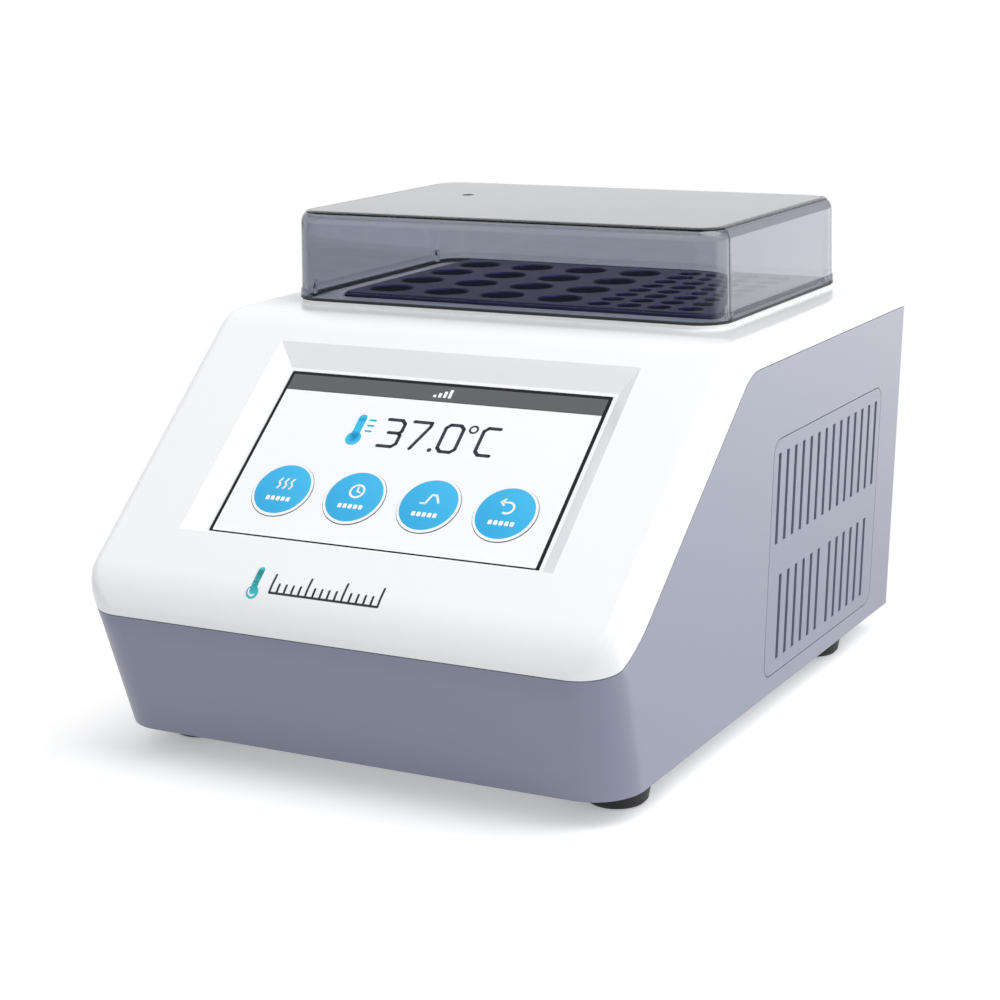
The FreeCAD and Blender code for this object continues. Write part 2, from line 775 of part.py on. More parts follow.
nuts = [hexagon(s.nut_radius, s.nut_height, p.x, p.y, floor_top).cut(
    cylinder(tap, s.nut_height, p.x, p.y, floor_top)) for p in feet]
sub_part(feature("foot_nut_group", Part.makeCompound(nuts)), "foot_nuts")
floor_screw_length = s.floor_thickness + s.ledge_thickness
sub_part(feature("floor_screw_group", screws_up(floor_screws, s.foot_height, floor_screw_length)),
         "floor_screws")

# White cover: deck with the collar, slope with the screen recess, posts down to the floor plate

def slope_box(name, half_width, low, high, bottom, top, corner=None):
    """Plate that lies in the slope, from expressions up the slope and along its normal."""
    body = slab(name, "-(%s)" % half_width, half_width, low, high, bottom, top, corner)
    body.Placement = slope_frame
    return body


glass_half = "screen_width / 2 + glass_border"
glass_low = "screen_up_slope - screen_height / 2 - glass_border"
glass_high = "screen_up_slope + screen_height / 2 + glass_border"
ledge_half = "%s + recess_ledge" % glass_half
ledge_low = "%s - recess_ledge" % glass_low
ledge_high = "%s + recess_ledge" % glass_high

recess = new_body("recess_tool")
recess_floor = new_sketch(recess, "recess_floor", "XY_Plane", "-recess_depth")
add_rectangle(recess_floor, "-(%s)" % ledge_half, ledge_half, ledge_low, ledge_high)
# The upper section lies one unit above the slope, so the bevel is carried on by one part of its depth
grow = "(1 + 1 / recess_depth)"
recess_mouth = new_sketch(recess, "recess_mouth", "XY_Plane", "1")
mouth_half = "%s + recess_bevel_side * %s" % (ledge_half, grow)
add_rectangle(recess_mouth, "-(%s)" % mouth_half, mouth_half,
              "%s - recess_bevel_low * %s" % (ledge_low, grow),
              "%s + recess_bevel_high * %s" % (ledge_high, grow))
bevel = recess.newObject("PartDesign::AdditiveLoft", "recess_bevel")
bevel.Profile = recess_floor
bevel.Sections = [recess_mouth]
bevel.Ruled = True
recess.Placement = slope_frame
doc.recompute()

tub = slope_box("tub", "%s + tub_rim" % ledge_half, "%s - tub_rim" % ledge_low, "%s + tub_rim" % ledge_high,
                "-tub_depth", "-wall / 2")
tub_inside = common("tub_inside", tub, housing_middle)
glass_pocket = slope_box("glass_pocket", "%s + glass_fit" % glass_half, "%s - glass_fit" % glass_low,
                         "%s + glass_fit" % glass_high, "-recess_depth - glass_thickness",
                         "-recess_depth + 1")
screen_window = slope_box("screen_window", "%s - glass_seat" % glass_half, "%s + glass_seat" % glass_low,
                          "%s - glass_seat" % glass_high, "-tub_depth - 2", "-recess_depth")

cover_shell = common("cover_shell", framed_shell, above_gap)
collar = slab("collar", "-" + LID_SIDE, LID_SIDE, LID_FRONT, LID_BACK, "deck_height - wall / 2",
              "deck_height + collar_height", "lid_corner")
post_columns = []
for k, p in enumerate(posts):
    stock = feature("post_stock_%d" % k,
                    cylinder(s.post_radius, s.deck_height - floor_top, p.x, p.y, floor_top))
    post_columns.append(common("post_column_%d" % k, stock, housing_middle))
cover_blank = fuse("cover_blank", cover_shell, collar, tub_inside, *post_columns)
well_opening = slab("well_opening", BLOCK_LEFT + " - block_gap", BLOCK_RIGHT + " + block_gap",
                    BLOCK_FRONT + " - block_gap", BLOCK_BACK + " + block_gap",
                    "deck_height - wall - 5", "deck_height + collar_height + 5", "block_corner + block_gap")
post_bores = [cylinder(tap, s.post_bore + 1, p.x, p.y, floor_top - 1) for p in posts]
cover_bores = feature("cover_bores", Part.makeCompound(post_bores))
cover_tools = fuse("cover_tools", recess, glass_pocket, screen_window)
cover_recessed = cut("cover_recessed", cover_blank, cover_tools)
cover_open = cut("cover_open", cover_recessed, well_opening)
sub_part(cut("cover_drilled", cover_open, cover_bores), "top_cover")
cover_screw_length = s.floor_thickness + s.post_bore - s.screw_radius
sub_part(feature("cover_screw_group", screws_up(posts, s.foot_height, cover_screw_length)), "cover_screws")
doc.recompute()

# Screen glass, display module and its board, held by four posts behind the recess
sub_part(slope_box("glass_plate", glass_half, glass_low, glass_high, "-recess_depth - glass_thickness",
                   "-recess_depth", "glass_border"), "display_glass")
sub_part(slope_box("module_case", "%s + module_margin" % glass_half, "%s - module_margin" % glass_low,
                   "%s + module_margin" % glass_high, "-tub_depth - module_thickness", "-tub_depth"),
         "display_module")
display_posts = [V(side * (s.screen_width / 2 + s.glass_border + s.recess_ledge + s.tub_rim / 2 + 0.5),
                   s.screen_up_slope + end * s.screen_height / 2, 0) for side in (-1, 1) for end in (-1, 1)]
display_board_top = -s.tub_depth - s.display_post_length
post_shapes = [cylinder(s.display_post_radius, s.display_post_length, p.x, p.y, display_board_top)
               for p in display_posts]
sub_part(feature("display_post_group", Part.makeCompound(post_shapes), slope_frame), "display_posts")
board_half = s.screen_width / 2 + s.glass_border + s.recess_ledge + s.tub_rim
board_low = s.screen_up_slope - s.screen_height / 2 - 5
board_high = s.screen_up_slope + s.screen_height / 2 + 5
display_board = block(-board_half, board_half, board_low, board_high, display_board_top - s.board_thickness,
                      display_board_top)
board_holes = [cylinder(tap, s.board_thickness + 2, p.x, p.y, display_board_top - s.board_thickness - 1)
               for p in display_posts]
sub_part(feature("display_board_plate", display_board.cut(Part.makeCompound(board_holes)), slope_frame),
         "display_board")
board_screw_shapes = []
for p in display_posts:
    under = display_board_top - s.board_thickness
    stud = cylinder(s.screw_radius, s.board_thickness, p.x, p.y, under)
    head = cylinder(s.screw_head_radius, s.screw_head_height, p.x, p.y, under - s.screw_head_height)
    board_screw_shapes.append(head.fuse(stud).removeSplitter())
sub_part(feature("display_screw_group", Part.makeCompound(board_screw_shapes), slope_frame), "display_screws")

# Lid: tapered clear box with rounded corners, a small lip at its foot and a vent hole in its roof

def rounded_outline(half_width, front, back, level, corner):
    """Closed rounded rectangle in a level plane."""
    def turn(x, y, start):
        circle = Part.Circle(V(x, y, level), V(0, 0, 1), corner)
        return Part.ArcOfCircle(circle, math.radians(start), math.radians(start + 90)).toShape()
    right, low, high = half_width - corner, front + corner, back - corner
    return Part.Wire([Part.makeLine(V(-right, front, level), V(right, front, level)), turn(right, low, 270),
                      Part.makeLine(V(half_width, low, level), V(half_width, high, level)),
                      turn(right, high, 0),
                      Part.makeLine(V(right, back, level), V(-right, back, level)), turn(-right, high, 90),
                      Part.makeLine(V(-half_width, high, level), V(-half_width, low, level)),
                      turn(-right, low, 180)])


def rounded_shell(inset, low, high, roof_round):
    """Tapered box with rounded corners and a rounded roof edge, inset from the lid's outline."""
    lean = (high - low) * math.tan(math.radians(s.lid_draft))
    sections = [rounded_outline(lid_half_width - inset - step, lid_front + inset + step,
                                lid_back - inset - step, level, s.lid_corner - inset - step)
                for level, step in ((low, 0.0), (high, lean))]
    form = Part.makeLoft(sections, True, True)
    return form.makeFillet(roof_round, [edge for edge in form.Edges if edge.BoundBox.ZMin > high - 0.01])


LID_LOW = "deck_height + collar_height + gasket_height + lid_seat_gap"
lid_roof = lid_bottom + s.lid_height
lid_outside = feature("lid_outside", rounded_shell(0.0, lid_bottom, lid_roof, s.lid_top_round))
lid_inside = feature("lid_inside", rounded_shell(s.lid_wall, lid_bottom - 0.01, lid_roof - s.lid_wall,
                                                 s.lid_top_round - s.lid_wall))
lid_lip = slab("lid_lip", "-%s - lid_lip_width" % LID_SIDE, LID_SIDE + " + lid_lip_width",
               LID_FRONT + " - lid_lip_width", LID_BACK + " + lid_lip_width", LID_LOW,
               LID_LOW + " + lid_lip_height",
               "lid_corner + lid_lip_width")
lid_blank = fuse("lid_blank", lid_outside, lid_lip)
vent_drill = feature("lid_vent_drill", cylinder(s.lid_vent_radius, 3 * s.lid_wall, s.lid_vent_x,
                                                half_depth - s.lid_vent_back_gap, lid_roof - 2 * s.lid_wall))
lid_hollow = cut("lid_hollow", lid_blank, fuse("lid_tools", lid_inside, vent_drill))
sub_part(lid_hollow, "lid")
gasket_outside = slab("gasket_outside", "-" + LID_SIDE, LID_SIDE, LID_FRONT, LID_BACK,
                      "deck_height + collar_height", "deck_height + collar_height + gasket_height", "lid_corner")
gasket_inside = slab("gasket_inside", "lid_wall - %s + 1" % LID_SIDE, LID_SIDE + " - lid_wall - 1",
                     LID_FRONT + " + lid_wall + 1", LID_BACK + " - lid_wall - 1",
                     "deck_height + collar_height - 1",
                     "deck_height + collar_height + gasket_height + 1", "lid_corner - lid_wall - 1")
sub_part(cut("gasket_ring", gasket_outside, gasket_inside), "lid_gasket")

# Heating block: one anodised slab with a field of large wells and a field of small ones
BLOCK_TOP = "deck_height + collar_height + block_rise"
BLOCK_LOW = BLOCK_TOP + " - block_height"
block_body = slab("block_body", BLOCK_LEFT, BLOCK_RIGHT, BLOCK_FRONT, BLOCK_BACK, BLOCK_LOW, BLOCK_TOP,
                  "block_corner")
large_sketch = new_sketch(block_body, "large_wells", "XY_Plane", BLOCK_TOP)
for column in range(int(s.large_well_count)):
    for line in range(int(s.large_well_count)):
        step = "(%d - (large_well_count - 1) / 2) * large_well_pitch"
        add_circle(large_sketch, "block_x + large_well_centre + " + step % column,
                   BLOCK_MIDDLE + " + " + step % line,
                   "large_well_radius")
pocket(block_body, large_sketch, "well_depth", "large_well_bores")
small_sketch = new_sketch(block_body, "small_wells", "XY_Plane", BLOCK_TOP)
for column in range(int(s.small_well_columns)):
    for line in range(int(s.small_well_rows)):
        add_circle(small_sketch,
                   "block_x + small_well_centre + (%d - (small_well_columns - 1) / 2) * small_well_pitch"
                   % column, BLOCK_MIDDLE + " + (%d - (small_well_rows - 1) / 2) * small_well_pitch" % line,
                   "small_well_radius")
pocket(block_body, small_sketch, "well_depth", "small_well_bores")
pin_sketch = new_sketch(block_body, "pin_holes", "XY_Plane", BLOCK_LOW)
for centre in ("large_well_centre", "small_well_centre"):
    add_circle(pin_sketch, "block_x + " + centre, BLOCK_MIDDLE, "pin_radius + pin_fit")
pocket(block_body, pin_sketch, "pin_height + 1", "pin_hole_bores", False)
sub_part(block_body, "heating_block")

# Heater stack under the block: plate with two locating pins, silicone mat, steel liner and insulation
block_low = collar_top + s.block_rise - s.block_height
plate_top = block_low - s.block_seat_gap
plate_low = plate_top - s.heater_plate_thickness
mat_low = plate_low - s.heater_mat_thickness
liner_low = mat_low - s.liner_wall
jacket_low = liner_low - s.insulation_thickness
tray_low = jacket_low - s.tray_thickness
pins = [V(s.block_x + centre, block_middle, 0) for centre in (s.large_well_centre, s.small_well_centre)]
pin_sink = s.heater_plate_thickness / 2


def around_block(margin, low, high, corner=0.0):
    """Box that follows the block's outline at a margin, between two levels."""
    half = s.block_half_width + margin
    box = block(s.block_x - half, s.block_x + half, block_front - margin, block_back + margin, low, high)
    if corner > 0:
        upright = [edge for edge in box.Edges if runs_along(V(0, 0, 1))(edge)]
        box = box.makeFillet(corner, upright)
    return box


sensor_start = block_back - s.sensor_length / 2
sensor_level = (plate_top + plate_low) / 2
sensor_bore = cylinder(s.sensor_radius + s.screw_clearance, s.sensor_length + 1, s.sensor_x,
                       sensor_start - 0.5,
                       sensor_level, V(0, 1, 0))
cutout_bore = cylinder(s.cutout_radius + s.fit_gap, s.insulation_thickness + s.tray_thickness + 2, s.cutout_x,
                       block_middle, tray_low - 1)
pin_sinks = [cylinder(s.pin_radius + s.screw_clearance, pin_sink + 1, p.x, p.y, plate_top - pin_sink)
             for p in pins]
heater_plate = around_block(0, plate_low, plate_top,
                            s.block_corner).cut(Part.makeCompound([sensor_bore] + pin_sinks))
sub_part(feature("heater_plate_milled", heater_plate), "heater_plate")
pin_shapes = [cylinder(s.pin_radius, pin_sink + s.pin_height - s.block_chamfer, p.x, p.y,
                       plate_top - pin_sink)
              for p in pins]
pin_shapes = [shape.makeChamfer(s.block_chamfer, [shape.Edges[0]]) for shape in pin_shapes]
sub_part(feature("pin_group", Part.makeCompound(pin_shapes)), "locating_pins")
sub_part(feature("heater_mat_sheet", around_block(0, mat_low, plate_low, s.block_corner)), "heater_mat")
liner_inner = around_block(s.block_gap, mat_low, deck_underside + 1, s.block_corner + s.block_gap)
liner_outer = around_block(s.block_gap + s.liner_wall, liner_low, deck_underside,
                           s.block_corner + s.block_gap + s.liner_wall)
sub_part(feature("liner_pressing", liner_outer.cut(liner_inner).cut(sensor_bore)), "well_liner")
jacket_margin = s.block_gap + s.liner_wall + s.insulation_thickness
jacket = around_block(jacket_margin, jacket_low, deck_underside - s.insulation_top_gap,
                      s.insulation_thickness)
jacket = jacket.cut(liner_outer).cut(sensor_bore).cut(cutout_bore)
sub_part(feature("jacket_foam", jacket), "insulation_jacket")
tray = around_block(jacket_margin + s.tray_thickness, tray_low, jacket_low + s.tray_rim,
                    s.insulation_thickness + s.tray_thickness)
tray = tray.cut(around_block(jacket_margin, jacket_low, jacket_low + s.tray_rim + 1, s.insulation_thickness))
sub_part(feature("tray_pressing", tray.cut(cutout_bore)), "heater_tray")
tray_posts = [V(s.block_x + side * (s.block_half_width + s.tray_post_radius + 2), y, 0) for side in (-1, 1)
              for y in (block_front - 2, block_back + 2)]
post_prisms = [hexagon(s.tray_post_radius, tray_low - floor_top, p.x, p.y, floor_top) for p in tray_posts]
sub_part(feature("tray_post_group", Part.makeCompound(post_prisms)), "tray_posts")
sensor_case = cylinder(s.sensor_radius, s.sensor_length, s.sensor_x, sensor_start, sensor_level, V(0, 1, 0))
sub_part(feature("sensor_case", sensor_case), "temperature_sensor")
cutout_case = cylinder(s.cutout_radius, s.cutout_height, s.cutout_x, block_middle,
                       liner_low - s.cutout_height)
sub_part(feature("cutout_case", cutout_case), "thermal_cutout")
doc.recompute()

# Rear panel with the fan, the mains inlet and the switch
rear_zone = slab("rear_zone", "-half_width - 20", "half_width + 20",
                 "overall_depth / 2 - rear_recess - rear_thickness", "overall_depth / 2 - rear_recess",
                 "foot_height", "deck_height")
rear_blank = common("rear_blank", housing_fit, rear_zone)
fan_holes = [V(s.fan_x + across * s.fan_screw_pitch / 2, 0, s.fan_z + up * s.fan_screw_pitch / 2)
             for across in (-1, 1) for up in (-1, 1)]
rear_axis = V(0, 1, 0)
through = s.rear_thickness + 2
inlet_low = s.inlet_z - s.inlet_body_height / 2
switch_half_height = s.rocker_radius + s.rocker_fit
switch_half_width = s.rocker_width / 2 + s.rocker_fit
case_half_height = switch_half_height + s.switch_wall
case_half_width = switch_half_width + s.switch_wall
rear_tools = [cylinder(s.fan_bore_radius, through, s.fan_x, rear_inner - 1, s.fan_z, rear_axis)]
rear_tools += [cylinder(tap, through, p.x, rear_inner - 1, p.z, rear_axis) for p in fan_holes + rear_screws]
rear_tools.append(block(s.inlet_x - s.inlet_body_width / 2 - s.fit_gap,
                        s.inlet_x + s.inlet_body_width / 2 + s.fit_gap,
                        rear_inner - 1, rear_face + 1, inlet_low - s.fit_gap,
                        inlet_low + s.inlet_body_height + s.fit_gap))
rear_tools.append(block(s.inlet_x - case_half_width - s.fit_gap, s.inlet_x + case_half_width + s.fit_gap,
                        rear_inner - 1, rear_face + 1, s.switch_z - case_half_height - s.fit_gap,
                        s.switch_z + case_half_height + s.fit_gap))
sub_part(cut("rear_punched", rear_blank, feature("rear_openings", Part.makeCompound(rear_tools))),
         "rear_panel")


def screws_in(places, start, length):
    """Pan-head screws driven in from the rear, with their heads behind a plane."""
    shapes = []
    for p in places:
        head = cylinder(s.screw_head_radius, s.screw_head_height, p.x, start, p.z, rear_axis)
        rim = [edge for edge in head.Edges if edge.BoundBox.YMin > start + s.screw_head_height - 0.01]
        head = head.makeChamfer(s.screw_bevel, rim)
        shaft = cylinder(s.screw_radius, length, p.x, start - length, p.z, rear_axis)
        shapes.append(head.fuse(shaft).removeSplitter())
    return Part.makeCompound(shapes)


sub_part(feature("rear_screw_group", screws_in(rear_screws, rear_face, s.rear_thickness + s.ledge_thickness)),
         "rear_panel_screws")

# Fan: square frame with a hub on four struts, a bladed rotor and a pressed guard outside
fan_half = s.fan_size / 2
fan_front = rear_inner - s.fan_depth
strut = s.fan_strut
frame_box = block(s.fan_x - fan_half, s.fan_x + fan_half, fan_front, rear_inner, s.fan_z - fan_half,
                  s.fan_z + fan_half)
frame_box = frame_box.makeFillet(s.fan_corner,
                                 [edge for edge in frame_box.Edges if runs_along(rear_axis)(edge)])
frame_tools = [cylinder(s.fan_bore_radius, s.fan_depth + 2, s.fan_x, fan_front - 1, s.fan_z, rear_axis)]
frame_tools += [cylinder(tap, s.fan_depth + 2, p.x, fan_front - 1, p.z, rear_axis) for p in fan_holes]
frame_parts = [frame_box.cut(Part.makeCompound(frame_tools)),
               cylinder(s.fan_hub_radius, strut, s.fan_x, fan_front, s.fan_z, rear_axis),
               cylinder(s.fan_shaft_radius, s.fan_depth - strut, s.fan_x, fan_front + strut / 2, s.fan_z,
                        rear_axis)]
for k in range(4):
    arm = block(0, s.fan_bore_radius + 1, 0, strut, -strut / 2, strut / 2)
    arm.rotate(V(0, 0, 0), rear_axis, 45 + 90 * k)
    arm.translate(V(s.fan_x, fan_front, s.fan_z))
    frame_parts.append(arm)
sub_part(feature("fan_moulding", joined(frame_parts)), "fan_frame")

rotor_front = fan_front + strut + s.fan_side_gap
rotor_back = rear_inner - s.fan_side_gap
rotor_length = rotor_back - rotor_front
blade_ring = cylinder(s.fan_bore_radius - s.fan_tip_gap, rotor_length, 0, 0, 0, rear_axis)
blades = []
for k in range(int(s.fan_blades)):
    blade = block(s.fan_hub_radius - 2, s.fan_bore_radius, -rotor_length, rotor_length * 2,
                  -s.blade_thickness / 2,
                  s.blade_thickness / 2)
    blade.translate(V(0, -rotor_length / 2, 0))
    blade.rotate(V(0, 0, 0), V(1, 0, 0), s.blade_angle)
    blade.translate(V(0, rotor_length / 2, 0))
    blade.rotate(V(0, 0, 0), rear_axis, 360.0 / s.fan_blades * k)
    blades.append(blade.common(blade_ring))
rotor = joined([cylinder(s.fan_hub_radius, rotor_length, 0, 0, 0, rear_axis)] + blades)
rotor = rotor.cut(cylinder(s.fan_shaft_radius + s.fit_gap, rotor_length + 2, 0, -1, 0, rear_axis))
rotor.translate(V(s.fan_x, rotor_front, s.fan_z))
sub_part(feature("rotor_moulding", rotor), "fan_rotor")

guard = s.guard_thickness
ring_radii = [share * s.fan_bore_radius for share in (0.3, 0.55, 0.8, 1.0)]
guard_parts = []
for radius in ring_radii:
    ring = cylinder(radius, guard, s.fan_x, rear_face, s.fan_z, rear_axis)
    hole = cylinder(radius - s.guard_ring_width, guard + 2, s.fan_x, rear_face - 1, s.fan_z, rear_axis)
    guard_parts.append(ring.cut(hole))
inner_ring = ring_radii[0] - s.guard_ring_width / 2
for number, p in enumerate(fan_holes):
    reach = math.hypot(p.x - s.fan_x, p.z - s.fan_z)
    bar = block(inner_ring, reach - s.screw_radius - s.guard_ring_width, 0, guard, -s.guard_bar_width / 2,
                s.guard_bar_width / 2)
    bar.rotate(V(0, 0, 0), rear_axis, -math.degrees(math.atan2(p.z - s.fan_z, p.x - s.fan_x)))
    bar.translate(V(s.fan_x, rear_face, s.fan_z))
    eyelet = cylinder(s.screw_head_radius + 1, guard, p.x, rear_face, p.z, rear_axis)
    guard_parts += [bar, eyelet.cut(cylinder(tap, guard + 2, p.x, rear_face - 1, p.z, rear_axis))]
sub_part(feature("guard_pressing", joined(guard_parts)), "fan_guard")
fan_screw_length = guard + s.rear_thickness + s.fan_depth
sub_part(feature("fan_screw_group", screws_in(fan_holes, rear_face + guard, fan_screw_length)), "fan_screws")

# Mains inlet: flange, body, plug socket with three flat pins, and the fuse drawer's pocket below it
flange_face = rear_face + s.inlet_flange_thickness
socket_z = s.inlet_z + s.socket_rise
drawer_z = s.inlet_z - s.drawer_drop
inlet_flange = block(s.inlet_x - s.inlet_flange_width / 2, s.inlet_x + s.inlet_flange_width / 2, rear_face,
                     flange_face, s.inlet_z - s.inlet_flange_height / 2, s.inlet_z + s.inlet_flange_height / 2)
inlet_flange = inlet_flange.makeFillet(s.inlet_corner,
                                       [e for e in inlet_flange.Edges if runs_along(rear_axis)(e)])
inlet_case = block(s.inlet_x - s.inlet_body_width / 2, s.inlet_x + s.inlet_body_width / 2,
                   rear_face - s.inlet_body_depth, rear_face + 0.5 * s.inlet_flange_thickness, inlet_low,
                   inlet_low + s.inlet_body_height)
socket = block(s.inlet_x - s.socket_width / 2, s.inlet_x + s.socket_width / 2, flange_face - s.socket_depth,
               flange_face + 1, socket_z - s.socket_height / 2, socket_z + s.socket_height / 2)
bevelled = [e for e in socket.Edges if runs_along(rear_axis)(e) and e.BoundBox.ZMin > socket_z]
socket = socket.makeChamfer(s.socket_height / 4, bevelled)
drawer_pocket = block(s.inlet_x - s.drawer_width / 2 - s.drawer_fit,
                      s.inlet_x + s.drawer_width / 2 + s.drawer_fit,
                      flange_face - s.drawer_depth - s.drawer_fit, flange_face + 1,
                      drawer_z - s.drawer_height / 2 - s.drawer_fit,
                      drawer_z + s.drawer_height / 2 + s.drawer_fit)
inlet = joined([inlet_flange, inlet_case]).cut(socket).cut(drawer_pocket)
contact_pins = []
for across, up in ((-s.contact_spacing / 2, -1.0), (s.contact_spacing / 2, -1.0), (0.0, 3.0)):
    contact_pins.append(block(s.inlet_x + across - 1, s.inlet_x + across + 1,
                              flange_face - s.socket_depth - 1,
                              flange_face - s.socket_depth + s.contact_length, socket_z + up - 2,
                              socket_z + up + 2))
sub_part(feature("inlet_moulding", joined([inlet] + contact_pins)), "power_inlet")

drawer_back = flange_face - s.drawer_depth
drawer_low = drawer_z - s.drawer_height / 2
drawer = block(s.inlet_x - s.drawer_width / 2, s.inlet_x + s.drawer_width / 2, drawer_back, flange_face,
               drawer_low, drawer_low + s.drawer_height)
grip = block(s.inlet_x - s.drawer_width / 2, s.inlet_x + s.drawer_width / 2, flange_face,
             flange_face + s.drawer_lip, drawer_low, drawer_low + s.drawer_height)
grip = grip.makeFillet(s.drawer_lip / 2,
                       [e for e in grip.Edges if e.BoundBox.YMin > flange_face + s.drawer_lip - 0.01])
fuse_places = [s.inlet_x - s.drawer_width / 4, s.inlet_x + s.drawer_width / 4]
fuse_start = drawer_back + (s.drawer_depth - s.fuse_length) / 2
trough_half = s.fuse_radius + s.drawer_fit
troughs = [block(x - trough_half, x + trough_half, fuse_start - s.drawer_fit,
                 fuse_start + s.fuse_length + s.drawer_fit, drawer_low + s.drawer_lip,
                 drawer_low + s.drawer_height + 1) for x in fuse_places]
sub_part(feature("drawer_moulding", joined([drawer, grip]).cut(Part.makeCompound(troughs))), "fuse_drawer")
fuse_shapes = [cylinder(s.fuse_radius, s.fuse_length, x, fuse_start, drawer_low + s.drawer_lip + s.fuse_radius
                        + s.screw_clearance, rear_axis) for x in fuse_places]
sub_part(feature("fuse_group", Part.makeCompound(fuse_shapes)), "fuses")

# Rocker switch: a case with a round pocket, and a paddle that tips on two stub pins
pivot_y = rear_face - s.rocker_sink
switch_back = pivot_y - switch_half_height - s.switch_wall
case = block(s.inlet_x - case_half_width, s.inlet_x + case_half_width, switch_back, rear_face,
             s.switch_z - case_half_height, s.switch_z + case_half_height)
bezel_margin = s.switch_bezel
bezel = block(s.inlet_x - case_half_width - bezel_margin, s.inlet_x + case_half_width + bezel_margin,
              rear_face,
              rear_face + s.switch_bezel, s.switch_z - case_half_height - bezel_margin,
              s.switch_z + case_half_height + bezel_margin)
bezel = bezel.makeFillet(s.switch_bezel / 2, [e for e in bezel.Edges
                                              if e.BoundBox.YMin > rear_face + s.switch_bezel - 0.01])
across = V(1, 0, 0)
pivot_start = s.inlet_x - switch_half_width
drum = cylinder(switch_half_height, 2 * switch_half_width, pivot_start, pivot_y, s.switch_z, across)
mouth = block(s.inlet_x - switch_half_width, s.inlet_x + switch_half_width, pivot_y,
              rear_face + s.switch_bezel + 1,
              s.switch_z - switch_half_height, s.switch_z + switch_half_height)
pivot_length = 2 * (switch_half_width + s.switch_wall / 2)
pivot_hole = cylinder(s.pivot_radius + s.rocker_fit, pivot_length, s.inlet_x - pivot_length / 2, pivot_y,
                      s.switch_z,
                      across)
switch_case = joined([case, bezel]).cut(joined([drum, mouth])).cut(pivot_hole)
sub_part(feature("switch_moulding", switch_case), "switch_case")
tilt = math.radians(s.rocker_tilt)
ridge = s.rocker_ridge
reach = s.rocker_radius
fall = reach * math.tan(tilt)
paddle_outline = [V(0, ridge, 0), V(0, ridge - fall, reach), V(0, -ridge / 2, reach),
                  V(0, -ridge / 2, -reach),
                  V(0, ridge - fall, -reach), V(0, ridge, 0)]
paddle = Part.Face(Part.makePolygon(paddle_outline)).extrude(V(s.rocker_width, 0, 0))
paddle.translate(V(-s.rocker_width / 2, 0, 0))
paddle = paddle.common(cylinder(s.rocker_radius, s.rocker_width, -s.rocker_width / 2, 0, 0, across))
stub_length = pivot_length - 2 * s.rocker_fit
paddle = joined([paddle, cylinder(s.pivot_radius, stub_length, -stub_length / 2, 0, 0, across)])
paddle.rotate(V(0, 0, 0), across, -s.rocker_tilt)
paddle.translate(V(s.inlet_x, pivot_y, s.switch_z))
sub_part(feature("rocker_paddle", paddle), "power_rocker")

# Circuit boards on hexagonal posts, with the heaviest of their components


def board_places(x, y, width, length):
    """The four mounting points near a board's corners."""
    half_x, half_y = width / 2 - s.board_hole_inset, length / 2 - s.board_hole_inset
    return [V(x + side * half_x, y + end * half_y, 0) for side in (-1, 1) for end in (-1, 1)]


supply_y = half_depth - s.supply_board_rear_gap
control_y = s.control_board_front_gap - half_depth
board_level = floor_top + s.board_post_height
board_top = board_level + s.board_thickness
supply_places = board_places(s.supply_board_x, supply_y, s.supply_board_width, s.supply_board_length)
control_places = board_places(s.control_board_x, control_y, s.control_board_width, s.control_board_length)
for name, x, y, width, length, places in (
        ("supply_board", s.supply_board_x, supply_y, s.supply_board_width, s.supply_board_length,
         supply_places),
        ("control_board", s.control_board_x, control_y, s.control_board_width, s.control_board_length,
         control_places)):
    board = block(x - width / 2, x + width / 2, y - length / 2, y + length / 2, board_level, board_top)
    holes = [cylinder(tap, s.board_thickness + 2, p.x, p.y, board_level - 1) for p in places]
    sub_part(feature(name + "_plate", board.cut(Part.makeCompound(holes))), name)
board_posts = [hexagon(s.board_post_radius, s.board_post_height, p.x, p.y, floor_top)
               for p in supply_places + control_places]
sub_part(feature("board_post_group", Part.makeCompound(board_posts)), "board_posts")
board_screws = []
for p in supply_places + control_places:
    head = cylinder(s.screw_head_radius, s.screw_head_height, p.x, p.y, board_top)
    stud = cylinder(s.screw_radius, s.board_thickness, p.x, p.y, board_level)
    board_screws.append(head.fuse(stud).removeSplitter())
sub_part(feature("board_screw_group", Part.makeCompound(board_screws)), "board_screws")

transformer_core = block(s.supply_board_x - s.transformer_width / 2,
                         s.supply_board_x + s.transformer_width / 2,
                         supply_y - s.transformer_length / 2, supply_y + s.transformer_length / 2,
                         board_top, board_top + s.transformer_height)
winding_margin = s.transformer_width / 6
winding = block(s.supply_board_x - s.transformer_width / 2 + winding_margin,
                s.supply_board_x + s.transformer_width / 2 - winding_margin,
                supply_y - s.transformer_length / 2 - winding_margin,
                supply_y + s.transformer_length / 2 + winding_margin,
                board_top + winding_margin, board_top + s.transformer_height - winding_margin)
sub_part(feature("transformer_stack", joined([transformer_core, winding])), "transformer")
capacitor_y = supply_y - s.transformer_length / 2 - winding_margin - s.capacitor_radius - 4
cans = [cylinder(s.capacitor_radius, s.capacitor_height, s.supply_board_x + side * (s.capacitor_radius + 3),
                 capacitor_y, board_top) for side in (-1, 1)]
cans = [can.makeChamfer(s.screw_bevel,
                        [e for e in can.Edges if e.BoundBox.ZMin > board_top + s.capacitor_height - 0.1])
        for can in cans]
sub_part(feature("capacitor_group", Part.makeCompound(cans)), "capacitors")
sink_x = s.control_board_x - s.heat_sink_width / 2
sink_y = control_y + s.control_board_length / 4
sink = [block(sink_x, sink_x + s.heat_sink_width, sink_y, sink_y + 2 * s.fin_thickness, board_top,
              board_top + s.heat_sink_height)]
